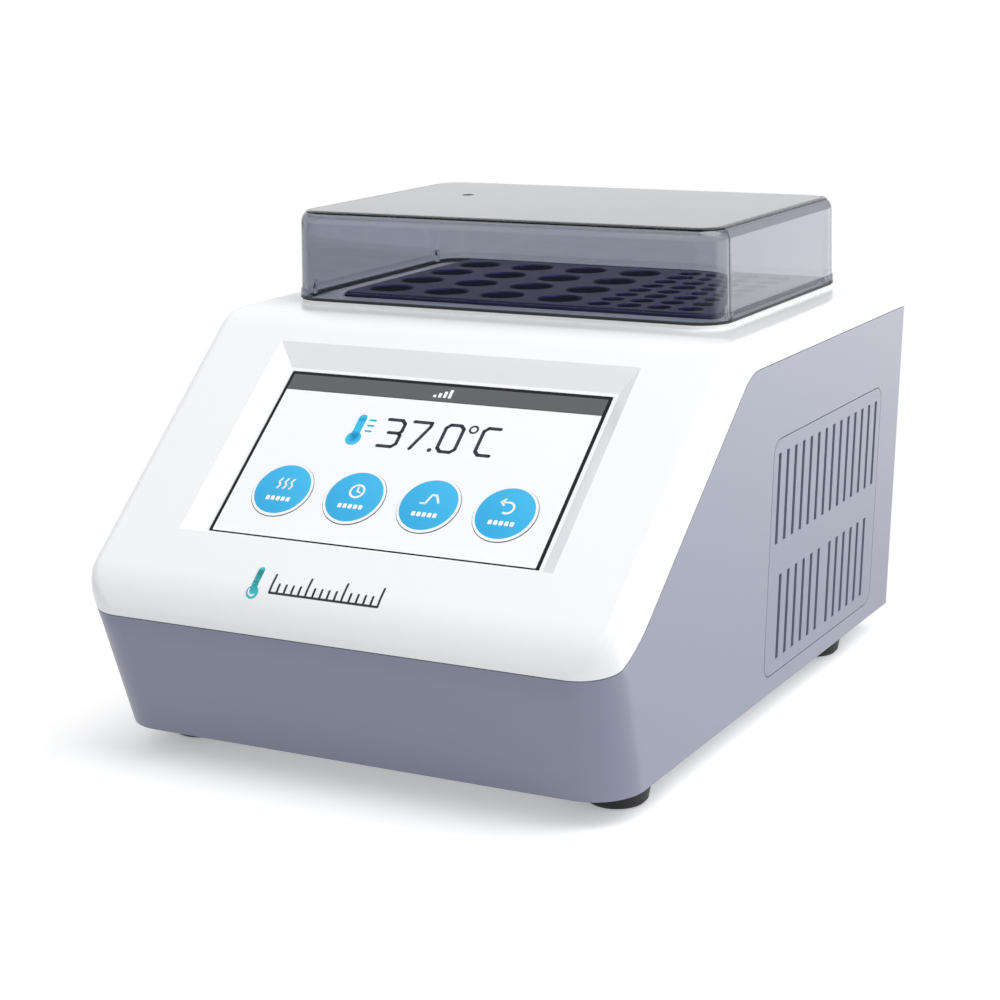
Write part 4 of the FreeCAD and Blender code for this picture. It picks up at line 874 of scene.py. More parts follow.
class Print:
    """Flat print of one ink on a slope, drawn in millimetres from the slope's centre.

    Args:
        slope: The face that is printed on.
        lift: Height of the ink over the face in millimetres.
    """

    turns: int = 40
    least_turns: int = 3
    clearance: float = 40.0

    def __init__(self, slope: Slope, lift: float) -> None:
        """Start with no ink."""
        self.slope = slope
        self.lift = lift
        self.shape = bmesh.new()

    def face(self, outline: Iterable[Spot]) -> None:
        """Fill an outline."""
        corners = [self.shape.verts.new(self.slope.point(x * MM, s * MM, self.lift * MM)) for x, s in outline]
        self.shape.faces.new(corners)

    def box(self, low: Spot, high: Spot, radius: float = 0.0) -> None:
        """Fill a rectangle.

        Args:
            low: Its lower left corner.
            high: Its upper right corner.
            radius: Radius of its corners.
        """
        if radius <= 0.0:
            self.face([low, (high[0], low[1]), high, (low[0], high[1])])
            return
        left, right = low[0] + radius, high[0] - radius
        bottom, top = low[1] + radius, high[1] - radius
        outline = []
        for quarter, (x, s) in enumerate(((right, top), (left, top), (left, bottom), (right, bottom))):
            turns = self.angles(QUARTER_TURN * quarter, QUARTER_TURN * (quarter + 1), closed=True)
            outline += [around(x, s, radius, turn) for turn in turns]
        self.face(outline)

    def disc(self, x: float, s: float, radius: float) -> None:
        """Fill a disc."""
        self.face([around(x, s, radius, turn) for turn in self.angles(0.0, FULL_TURN)])

    def arc(self, x: float, s: float, radius: float, width: float, start: float, end: float) -> None:
        """Fill a band along an arc.

        Args:
            x: Centre across the slope.
            s: Centre up the slope.
            radius: Radius of the band's middle.
            width: Width of the band.
            start: First angle in degrees.
            end: Last angle in degrees.
        """
        inner, outer = radius - width / 2, radius + width / 2
        angles = self.angles(start, end, closed=True)
        for first, second in zip(angles, angles[1:]):
            self.face([around(x, s, reach, turn) for reach, turn in
                       ((inner, first), (outer, first), (outer, second), (inner, second))])

    def line(self, points: Sequence[Spot], width: float) -> None:
        """Fill a band along straight runs with round ends and bends.

        Args:
            points: Ends of the runs.
            width: Width of the band.
        """
        for (x0, s0), (x1, s1) in zip(points, points[1:]):
            length = math.hypot(x1 - x0, s1 - s0)
            aside_x, aside_s = (s0 - s1) / length * width / 2, (x1 - x0) / length * width / 2
            self.face([(x0 + aside_x, s0 + aside_s), (x0 - aside_x, s0 - aside_s),
                       (x1 - aside_x, s1 - aside_s), (x1 + aside_x, s1 + aside_s)])
        for x, s in points:
            self.disc(x, s, width / 2)

    def angles(self, start: float, end: float, closed: bool = False) -> list[float]:
        """Divide a turn evenly.

        Args:
            start: First angle in degrees.
            end: Last angle in degrees.
            closed: Whether the last angle is given too.

        Returns:
            The angles in radians.
        """
        steps = max(self.least_turns, round(self.turns * abs(end - start) / FULL_TURN))
        count = steps + 1 if closed else steps
        return [math.radians(start + (end - start) * step / steps) for step in range(count)]

    def wrap(self, node: str) -> None:
        """Lay the print on the curved outside of a node, along the slope's normal.

        Args:
            node: The node.
        """
        mesh = frame["nodes"][node].data
        skin = BVHTree.FromPolygons([vertex.co for vertex in mesh.vertices],
                                    [tuple(polygon.vertices) for polygon in mesh.polygons])
        for vertex in self.shape.verts:
            start = vertex.co + self.slope.normal * self.clearance * MM
            hit, normal, _, _ = skin.ray_cast(start, -self.slope.normal)
            vertex.co = hit + normal * self.lift * MM

    def piece(self, name: str, slot: Slot, finish: Finish) -> Object:
        """Turn the print into a piece of the housing.

        Args:
            name: Name of the piece.
            slot: Slot of what it is printed on.
            finish: Its ink.

        Returns:
            The piece, with its faces outward.
        """
        bmesh.ops.recalc_face_normals(self.shape, faces=self.shape.faces)
        for polygon in self.shape.faces:
            if polygon.normal.dot(self.slope.normal) < 0:
                polygon.normal_flip()
        return finish_piece(mesh_piece(name, self.shape), Body.HOUSING, slot, finish)


class Mark(Protocol):
    """One figure of a sign, in millimetres from the sign's own origin."""

    def draw(self, sheet: Print, x: float, s: float) -> None:
        """Print the figure with the sign's origin at a point."""


@dataclass(frozen=True)
class Stroke:
    """Band along straight runs."""

    points: tuple[Spot, ...]
    width: float

    def draw(self, sheet: Print, x: float, s: float) -> None:
        """Print the band."""
        sheet.line([(x + across, s + up) for across, up in self.points], self.width)


@dataclass(frozen=True)
class Arc:
    """Band along an arc, from one angle to another in degrees."""

    radius: float
    width: float
    rise: float = 0.0
    start: float = 0.0
    end: float = FULL_TURN

    def draw(self, sheet: Print, x: float, s: float) -> None:
        """Print the band."""
        sheet.arc(x, s + self.rise, self.radius, self.width, self.start, self.end)


@dataclass(frozen=True)
class Dot:
    """Filled disc."""

    radius: float
    rise: float = 0.0

    def draw(self, sheet: Print, x: float, s: float) -> None:
        """Print the disc."""
        sheet.disc(x, s + self.rise, self.radius)


@dataclass(frozen=True)
class Bar:
    """Filled rectangle with round corners."""

    low: Spot
    high: Spot
    radius: float

    def draw(self, sheet: Print, x: float, s: float) -> None:
        """Print the rectangle."""
        sheet.box((x + self.low[0], s + self.low[1]), (x + self.high[0], s + self.high[1]), self.radius)


def draw_all(sheet: Print, marks: Iterable[Mark], x: float, s: float) -> None:
    """Print a sign with its origin at a point."""
    for mark in marks:
        mark.draw(sheet, x, s)


# Display


class Icon(Enum):
    """Signs on the round buttons."""

    WARMTH = "warmth"
    CLOCK = "clock"
    PROGRAM = "program"
    BACK = "back"


ICON_MARKS: dict[Icon, tuple[Mark, ...]] = {
    Icon.WARMTH: tuple(Stroke(((left, -2.6), (left + 0.9, -1.0), (left - 0.3, 0.8), (left + 0.7, 2.6)), 0.9)
                       for left in (-3.0, 0.0, 3.0)),
    Icon.CLOCK: (Arc(3.2, 1.0), Stroke(((0.0, 2.0), (0.0, 0.0), (1.6, -0.6)), 0.8)),
    Icon.PROGRAM: (Stroke(((-4.0, -2.4), (-1.8, -2.4), (-0.2, 2.2), (2.0, 2.2), (4.0, -1.4)), 1.0),),
    Icon.BACK: (Arc(2.8, 1.0, -0.2, -120.0, 110.0), Stroke(((-1.2, 2.5), (-3.4, 2.5)), 1.0),
                Stroke(((-2.2, 4.0), (-3.8, 2.5), (-2.2, 1.0)), 1.0)),
}

# Figures of the readout, each from its lower left corner
DIGIT_STROKE = 1.7
DIGIT_MARKS: dict[str, tuple[Mark, ...]] = {
    "3": (Stroke(((0.0, 14.5), (6.6, 14.5), (8.4, 12.7), (8.4, 8.45), (7.2, 7.45), (8.4, 6.45), (8.4, 1.8),
                  (6.6, 0.0), (0.0, 0.0)), DIGIT_STROKE),
          Stroke(((2.4, 7.45), (7.2, 7.45)), DIGIT_STROKE)),
    "7": (Stroke(((0.0, 14.5), (8.4, 14.5), (8.4, 12.5), (3.2, 0.0)), DIGIT_STROKE),),
    ".": (Dot(0.62 * DIGIT_STROKE, 0.2),),
    "0": (Stroke(((1.8, 14.5), (6.6, 14.5), (8.4, 12.7), (8.4, 1.8), (6.6, 0.0), (1.8, 0.0), (0.0, 1.8),
                  (0.0, 12.7), (1.8, 14.5)), DIGIT_STROKE),),
    "degree": (Arc(1.8, 1.0, 13.1),),
    "C": (Stroke(((7.14, 14.5), (1.8, 14.5), (0.0, 12.7), (0.0, 1.8), (1.8, 0.0), (7.14, 0.0)),
                 DIGIT_STROKE),),
}


class Layer(Enum):
    """Heights of the screen's inks over its glass, in millimetres."""

    PANEL = 0.02
    SHADE = 0.04
    LINE = 0.05
    DISC = 0.06
    SIGNAL = 0.07
    SIGN = 0.08


@dataclass
class Display:
    """Lit touch screen: status bar, temperature readout and four round buttons, in millimetres."""

    side_border: float = 1.5
    low_border: float = 0.6
    panel_round: float = 0.5
    bar_height: float = 8.5
    bar_edge: float = 0.35
    signal: tuple[Mark, ...] = tuple(Bar((2.4 * step - 4.0, -2.3), (2.4 * step - 2.5, 1.1 * step - 0.9), 0.25)
                                     for step in range(4))
    button_x: tuple[float, ...] = (-53.2, -17.6, 17.8, 53.4)
    button_s: float = -19.6
    button_radius: float = 13.0
    button_sides: int = 96
    ring_width: float = 1.15
    outline_width: float = 0.22
    shadow_shift: Spot = (0.35, -0.55)
    ring_shift: float = 0.5
    icon_rise: float = 3.0
    caption: tuple[Mark, ...] = tuple(Bar((2.5 * step - 5.9, -6.2), (2.5 * step - 4.1, -3.9), 0.5)
                                      for step in range(5))
    readout_low: float = 8.35
    readout: tuple[tuple[str, float], ...] = (("3", -19.0), ("7", -6.5), (".", 6.2), ("0", 9.4),
                                              ("degree", 22.4), ("C", 27.4))
    stem_x: float = -32.0
    thermometer: tuple[Mark, ...] = (Dot(3.7, 2.6), Stroke(((0.0, 3.0), (0.0, 13.9)), 4.0),
                                     *(Stroke(((4.2, up), (6.6, up)), 1.1) for up in (13.1, 10.1, 7.1)))
    white: LitInk = LitInk("lit_white", (0.90, 0.905, 0.91), glow=0.04)
    grey: LitInk = LitInk("lit_grey", (0.085, 0.086, 0.09), glow=0.05)
    dark: LitInk = LitInk("lit_dark", (0.012, 0.014, 0.03), glow=0.0)
    cyan: LitInk = LitInk("lit_cyan", (0.01, 0.40, 0.64), glow=0.25)
    blue: LitInk = LitInk("lit_blue", (0.003, 0.31, 0.58), glow=0.25, far_colour=(0.025, 0.39, 0.66))
    slope: Slope = field(init=False)

    def build(self) -> None:
        """Make every layer of the artwork."""
        self.slope, half_width, half_height = slope_of("display_glass", math.radians(SCREEN_TILT))
        self._panel(half_width / MM, half_height / MM)
        self._buttons()
        self._icons()
        self._readout()

    def _sheet(self, layer: Layer) -> Print:
        """Start a print on one layer."""
        return Print(self.slope, layer.value)

    def _panel(self, half_width: float, half_height: float) -> None:
        """White panel, and the grey bar along its top with the signal sign.

        Args:
            half_width: Half the glass's width in millimetres.
            half_height: Half the glass's height in millimetres.
        """
        side = half_width - self.side_border
        low, high = self.low_border - half_height, half_height - self.side_border
        foot = high - self.bar_height
        for name, layer, bottom, top, radius, ink in (
                ("screen_panel", Layer.PANEL, low, high, self.panel_round, self.white),
                ("status_bar", Layer.SHADE, foot, high, 0.0, self.grey),
                ("status_bar_edge", Layer.LINE, foot - self.bar_edge, foot, 0.0, self.dark)):
            sheet = self._sheet(layer)
            sheet.box((-side, bottom), (side, top), radius)
            sheet.piece(name, Slot.GLASS, ink)
        signal = self._sheet(Layer.SIGNAL)
        draw_all(signal, self.signal, 0.0, high - self.bar_height / 2)
        signal.piece("status_signal", Slot.GLASS, self.white)

    @staticmethod
    def _disc_row() -> NodeTree:
        """Tree of a row of discs, each with the slant along which its colour shades stored as across.

        Returns:
            The tree.
        """
        tree, kit, source = new_tree("disc_row", [
            ("Count", WHOLE), ("Sides", WHOLE), ("Radius", NUMBER), ("Step", VECTOR), ("Start", VECTOR),
            ("Turn", VECTOR), ("Material", MATERIAL)])
        radius = source.outputs["Radius"]
        disc = kit.add("GeometryNodeMeshCircle", {"fill_type": "NGON"}, Vertices=source.outputs["Sides"],
                       Radius=radius)
        place = kit.add("GeometryNodeInputPosition").outputs[0]
        slant = kit.math("ADD", kit.part_of(place, "X"), kit.part_of(place, "Y"))
        marked = kit.add("GeometryNodeStoreNamedAttribute", {"data_type": "FLOAT", "domain": "POINT"},
                         Geometry=disc.outputs[0], Name="across", Value=kit.math("DIVIDE", slant, radius))
        turned = kit.add("GeometryNodeTransform", Geometry=marked.outputs[0], Rotation=source.outputs["Turn"])
        row = kit.add("GeometryNodeMeshLine", {"mode": "OFFSET"}, Count=source.outputs["Count"],
                      Start_Location=source.outputs["Start"], Offset=source.outputs["Step"])
        discs = kit.add("GeometryNodeInstanceOnPoints", Points=row.outputs[0], Instance=turned.outputs[0])
        end_tree(kit, discs.outputs[0], source.outputs["Material"])
        return tree

    def _buttons(self) -> None:
        """Blue discs with a white ring and a fine dark outline."""
        tree = self._disc_row()
        count = len(self.button_x)
        step = (self.button_x[-1] - self.button_x[0]) / (count - 1) * MM
        ring = self.button_radius + self.ring_width
        for name, radius, layer, shift, ink in (
                ("button_outlines", ring + self.outline_width, Layer.SHADE, 1.0, self.dark),
                ("button_rings", ring, Layer.LINE, self.ring_shift, self.white),
                ("button_discs", self.button_radius, Layer.DISC, 0.0, self.blue)):
            start = self.slope.point((self.button_x[0] + shift * self.shadow_shift[0]) * MM,
                                     (self.button_s + shift * self.shadow_shift[1]) * MM, layer.value * MM)
            piece = grow_piece(name, tree, ink, Count=count, Sides=self.button_sides, Radius=radius * MM,
                               Step=(step, 0.0, 0.0), Start=start, Turn=(math.radians(SCREEN_TILT), 0.0, 0.0))
            finish_piece(piece, Body.HOUSING, Slot.GLASS, ink)

    def _icons(self) -> None:
        """White signs on the buttons, each over a row of dashes."""
        icons = self._sheet(Layer.SIGN)
        for x, icon in zip(self.button_x, Icon):
            draw_all(icons, ICON_MARKS[icon], x, self.button_s + self.icon_rise)
            draw_all(icons, self.caption, x, self.button_s)
        icons.piece("button_icons", Slot.GLASS, self.white)

    def _readout(self) -> None:
        """Block temperature in plain digits, after a small thermometer."""
        cyan = self._sheet(Layer.LINE)
        draw_all(cyan, self.thermometer, self.stem_x, self.readout_low)
        cyan.piece("readout_sign", Slot.GLASS, self.cyan)
        dark = self._sheet(Layer.LINE)
        for figure, x in self.readout:
            draw_all(dark, DIGIT_MARKS[figure], x, self.readout_low)
        dark.piece("readout_digits", Slot.GLASS, self.dark)


@dataclass
class FrontPrint:
    """Scale printed on the cover's nose: a teal thermometer and a row of plain ticks, in millimetres."""

    level: float = -71.0
    lift: float = 0.06
    stem_x: float = -39.0
    bulb: Dot = Dot(2.9, -5.0)
    stem_low: float = -4.5
    stem_step: float = 1.7
    stem_steps: int = 6
    stem_width: float = 3.0
    first_tick: float = -31.0
    tick_count: int = 16
    tick_pitch: float = 3.4
    tick_width: float = 1.0
    tick_runs: int = 3
    short_tick: float = 4.2
    long_tick: float = 8.6
    long_every: int = 5
    teal: Moulding = Moulding("printed_teal", (0.03, 0.50, 0.52), roughness=0.35, grain_depth=0.0)
    dark: Moulding = Moulding("printed_dark", (0.012, 0.013, 0.02), roughness=0.35, grain_depth=0.0)

    def build(self) -> None:
        """Make both inks, each laid on the curve of the nose."""
        slope, _, _ = slope_of("display_glass", math.radians(SCREEN_TILT))
        for name, draw, ink in (("front_print_sign", self._thermometer, self.teal),
                                ("front_print_scale", self._scale, self.dark)):
            sheet = Print(slope, self.lift)
            draw(sheet)
            sheet.wrap("top_cover")
            sheet.piece(name, Slot.COVER, ink)

    def _column(self, sheet: Print, x: float, low: float, step: float, count: int, width: float) -> None:
        """Print an upright line in short runs, so that it bends with the surface.

        Args:
            sheet: What it is printed on.
            x: Its place across.
            low: Its lower end over the print's level.
            step: Length of a run.
            count: Number of runs.
            width: Width of the line.
        """
        for run in range(count):
            bottom = self.level + low + step * run
            sheet.line([(x, bottom), (x, bottom + step)], width)

    def _thermometer(self, sheet: Print) -> None:
        """Print the bulb and the stem."""
        self.bulb.draw(sheet, self.stem_x, self.level)
        self._column(sheet, self.stem_x, self.stem_low, self.stem_step, self.stem_steps, self.stem_width)

    def _scale(self, sheet: Print) -> None:
        """Print the ticks and the line that they stand on.

        Args:
            sheet: What they are printed on.
        """
        low = -self.long_tick / 2
        foot = self.level + low
        for tick in range(self.tick_count):
            x = self.first_tick + tick * self.tick_pitch
            reach = self.short_tick if tick % self.long_every else self.long_tick
            self._column(sheet, x, low, reach / self.tick_runs, self.tick_runs, self.tick_width)
            if tick:
                sheet.line([(x - self.tick_pitch, foot), (x, foot)], self.tick_width)


@dataclass
class RockerMarks:
    """White line and ring moulded into the two faces of the rocker, in millimetres."""

    line_length: float = 3.2
    ring_radius: float = 1.5
    ring_sides: int = 32
    stroke: float = 0.55
    lift: float = 0.03
    facing: float = 0.8
    ink: Moulding = Moulding("rocker_white", (0.85, 0.85, 0.85), roughness=0.4, grain_depth=0.0)

    def build(self) -> None:
        """Print one mark on each half."""
        low, high = box_of("power_rocker")
        middle = (low + high) / 2
        across = Vector((-1.0, 0.0, 0.0))
        for name, upper, edge, outlines in (("rocker_mark_on", True, high.z, self._line()),
                                            ("rocker_mark_off", False, low.z, self._ring())):
            face = self._widest_face(middle.z, upper)
            normal = face.normal
            spot = Vector((middle.x, 0.0, (middle.z + edge) / 2))
            spot.y = (normal.dot(face.center) - normal.z * spot.z) / normal.y
            up = normal.cross(across).normalized()
            shape = bmesh.new()
            for outline in outlines:
                shape.faces.new([shape.verts.new(spot + (across * x + up * s + normal * self.lift) * MM)
                                 for x, s in outline])
            bmesh.ops.remove_doubles(shape, verts=shape.verts, dist=INK_WELD)
            finish_piece(mesh_piece(name, shape), Body.ROCKER, Slot.BLACK, self.ink)

    def _widest_face(self, level: float, upper: bool) -> bpy.types.MeshPolygon:
        """Return the largest outward face of the rocker's upper or lower half.

        Args:
            level: Height of the rocker's middle.
            upper: Whether the face is in the upper half.

        Returns:
            The face.
        """
        faces = [polygon for polygon in frame["nodes"]["power_rocker"].data.polygons
                 if polygon.normal.y > self.facing and (polygon.center.z > level) == upper]
        return max(faces, key=lambda polygon: polygon.area)

    def _line(self) -> list[list[Spot]]:
        """Return the upright line's outline."""
        long, wide = self.line_length / 2, self.stroke / 2
        return [[(-wide, -long), (wide, -long), (wide, long), (-wide, long)]]

    def _ring(self) -> list[list[Spot]]:
        """Return the outlines of the ring's parts.

        Returns:
            One outline of four corners for each side of the ring.
        """
        inner, outer = self.ring_radius - self.stroke / 2, self.ring_radius + self.stroke / 2
        turns = [math.tau * side / self.ring_sides for side in range(self.ring_sides + 1)]
        return [[around(0.0, 0.0, radius, turn) for radius, turn in
                 ((inner, first), (outer, first), (outer, second), (inner, second))]
                for first, second in zip(turns, turns[1:])]


# Heating block


@dataclass(frozen=True)
class WellField:
    """Grid of round-bottomed wells, in millimetres from the block's centre."""

    columns: int
    rows: int
    pitch: float
    across: float
    radius: float
    chamfer: float
    sides: int
    depth: float = 36.0


def round_rectangle(kit: NodeKit, width: Term, length: Term, corner: Term, steps: int) -> NodeSocket:
    """Add a rectangle with round corners to a tree.

    Args:
        kit: Kit on the tree.
        width: Size along x.
        length: Size along y.
        corner: Radius of the corners.
        steps: Points on each corner.

    Returns:
        The outline, as a curve.
    """
    box = kit.add("GeometryNodeCurvePrimitiveQuadrilateral", {"mode": "RECTANGLE"}, Width=width,
                  Height=length)
    rounded = kit.add("GeometryNodeFilletCurve", {"mode": "POLY"}, Curve=box.outputs[0], Count=steps,
                      Radius=corner)
    return rounded.outputs[0]


def circle(kit: NodeKit, radius: Term, sides: int) -> NodeSocket:
    """Add a circle to a tree and return it as a curve."""
    return kit.add("GeometryNodeCurvePrimitiveCircle", {"mode": "RADIUS"}, Resolution=sides,
                   Radius=radius).outputs[0]


def filled(kit: NodeKit, curve: NodeSocket) -> NodeSocket:
    """Fill closed curves with flat faces, those inside another left open."""
    return kit.add("GeometryNodeFillCurve", {"mode": "TRIANGLES"}, Curve=curve).outputs[0]


def open_cone(kit: NodeKit, low: Term, high: Term, bottom: Term, top: Term,
              sides: NodeSocket | int) -> NodeSocket:
    """Add an open cone about z to a tree.

    Args:
        kit: Kit on the tree.
        low: Height of its lower rim.
        high: Height of its upper rim.
        bottom: Radius of its lower rim.
        top: Radius of its upper rim.
        sides: Number of its sides.

    Returns:
        The cone.
    """
    cone = kit.add("GeometryNodeMeshCone", {"fill_type": "NONE"}, Vertices=sides, Radius_Bottom=bottom,
                   Radius_Top=top, Depth=kit.math("SUBTRACT", high, low))
    return kit.raised(cone.outputs["Mesh"], low)


@dataclass
class HeatingBlock:
    """Anodised block with a field of large wells and a field of small ones, in millimetres."""

    large: WellField = WellField(4, 4, 29.4, -33.5, 10.3, 0.6, 64)
    small: WellField = WellField(4, 8, 14.7, 55.75, 5.35, 0.45, 48)
    bowl_rings: int = 12
    bowl_margin: float = 0.01
    edge: float = 0.9
    corner: float = 4.0
    corner_steps: int = 8
    smooth_angle: float = 24.0

    def build(self) -> None:
        """Make the block and let it stand in for the plain one."""
        low, high = box_of("heating_block")
        size, middle = high - low, (low + high) / 2
        piece = grow_piece("block_with_wells", self._tree(), FINISHES[Slot.BLOCK], Size_X=size.x,
                           Size_Y=size.y, Height=size.z, Edge=self.edge * MM, Corner=self.corner * MM,
                           Place=(middle.x, middle.y, high.z))
        sharpen(piece, self.smooth_angle)
        finish_piece(piece, Body.BLOCK, Slot.BLOCK)
        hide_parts("heating_block")

    def _well_tree(self) -> NodeTree:
        """Tree of one well: chamfer, wall and round bottom, open at z = 0.

        Returns:
            The tree.
        """
        inputs = [("Radius", NUMBER), ("Depth", NUMBER), ("Chamfer", NUMBER), ("Sides", WHOLE)]
        tree, kit, source = new_tree("round_well", inputs)
        radius, depth, chamfer, sides = (source.outputs[label] for label, _ in inputs)
        throat, floor = kit.negative(chamfer), kit.math("SUBTRACT", radius, depth)
        mouth = open_cone(kit, throat, 0.0, radius, kit.math("ADD", radius, chamfer), sides)
        wall = open_cone(kit, floor, throat, radius, radius, sides)
        ball = kit.add("GeometryNodeMeshUVSphere", Segments=sides, Rings=self.bowl_rings, Radius=radius)
        height = kit.part_of(kit.add("GeometryNodeInputPosition").outputs[0], "Z")
        above = kit.add("FunctionNodeCompare", {"operation": "GREATER_THAN", "data_type": "FLOAT"}, i0=height,
                        i1=self.bowl_margin * MM)
        bowl = kit.add("GeometryNodeDeleteGeometry", {"domain": "POINT"}, Geometry=ball.outputs["Mesh"],
                       Selection=above.outputs[0])
        cup = kit.joined((mouth, wall, kit.raised(bowl.outputs[0], floor)))
        turned = kit.add("GeometryNodeFlipFaces", Mesh=cup)
        kit.add("NodeGroupOutput", Geometry=turned.outputs[0])
        return tree

    @staticmethod
    def _field(kit: NodeKit, wells: WellField, well_tree: NodeTree) -> tuple[NodeSocket, NodeSocket]:
        """Add the wells of one field.

        Args:
            kit: Kit on the block's tree.
            wells: The field.
            well_tree: Tree of one well.

        Returns:
            The wells, and the outlines of their mouths.
        """
        grid = kit.add("GeometryNodeMeshGrid", Size_X=(wells.columns - 1) * wells.pitch * MM,
                       Size_Y=(wells.rows - 1) * wells.pitch * MM, Vertices_X=wells.columns,
                       Vertices_Y=wells.rows)
        spots = kit.add("GeometryNodeTransform", Geometry=grid.outputs["Mesh"],
                        Translation=(wells.across * MM, 0.0, 0.0)).outputs[0]
        well = kit.add("GeometryNodeGroup", {"node_tree": well_tree}, Radius=wells.radius * MM,
                       Depth=wells.depth * MM, Chamfer=wells.chamfer * MM, Sides=wells.sides)
        mouth = circle(kit, (wells.radius + wells.chamfer) * MM, wells.sides)
        cups, mouths = (kit.add("GeometryNodeInstanceOnPoints", Points=spots, Instance=shape).outputs[0]
                        for shape in (well.outputs[0], mouth))
        return cups, kit.add("GeometryNodeRealizeInstances", Geometry=mouths).outputs[0]

    def _tree(self) -> NodeTree:
        """Tree of the whole block: drilled top, chamfered rim, sides, underside and wells.

        Returns:
            The tree.
        """
        tree, kit, source = new_tree("drilled_block", [
            ("Size X", NUMBER), ("Size Y", NUMBER), ("Height", NUMBER), ("Edge", NUMBER), ("Corner", NUMBER),
            ("Place", VECTOR), ("Material", MATERIAL)])
        size_x, size_y, height, edge, corner = (source.outputs[label] for label in
                                                ("Size X", "Size Y", "Height", "Edge", "Corner"))
        trim = kit.math("MULTIPLY", edge, 2.0)
        inner_x, inner_y = kit.math("SUBTRACT", size_x, trim), kit.math("SUBTRACT", size_y, trim)
        rim = round_rectangle(kit, inner_x, inner_y, corner, self.corner_steps)
        well_tree = self._well_tree()
        fields = [self._field(kit, wells, well_tree) for wells in (self.large, self.small)]
        top = filled(kit, kit.joined([rim, *(mouths for _, mouths in fields)]))
        edges = kit.add("GeometryNodeCurveToMesh", Curve=rim)
        downward = kit.add("ShaderNodeCombineXYZ", Z=-1.0).outputs[0]
        bevel = kit.add("GeometryNodeExtrudeMesh", {"mode": "EDGES"}, Mesh=edges.outputs[0], Offset=downward,
                        Offset_Scale=edge)
        spread = kit.add("ShaderNodeCombineXYZ", X=kit.math("DIVIDE", size_x, inner_x),
                         Y=kit.math("DIVIDE", size_y, inner_y), Z=1.0)
        place = kit.add("GeometryNodeInputPosition")
        moved = kit.vector_math("MULTIPLY", place.outputs[0], spread.outputs[0])
        widened = kit.add("GeometryNodeSetPosition", Geometry=bevel.outputs["Mesh"],
                          Selection=bevel.outputs["Top"], Position=moved.outputs[0])
        walls = kit.add("GeometryNodeExtrudeMesh", {"mode": "EDGES"}, Mesh=widened.outputs[0],
                        Selection=bevel.outputs["Top"], Offset=downward,
                        Offset_Scale=kit.math("SUBTRACT", height, edge))
        foot = round_rectangle(kit, size_x, size_y, corner, self.corner_steps)
        underside = kit.raised(filled(kit, foot), kit.negative(height))
        whole = kit.joined([top, walls.outputs["Mesh"], underside, *(cups for cups, _ in fields)])
        placed = kit.add("GeometryNodeTransform", Geometry=whole, Translation=source.outputs["Place"])
        end_tree(kit, placed.outputs[0], source.outputs["Material"])
        return tree


# Lid


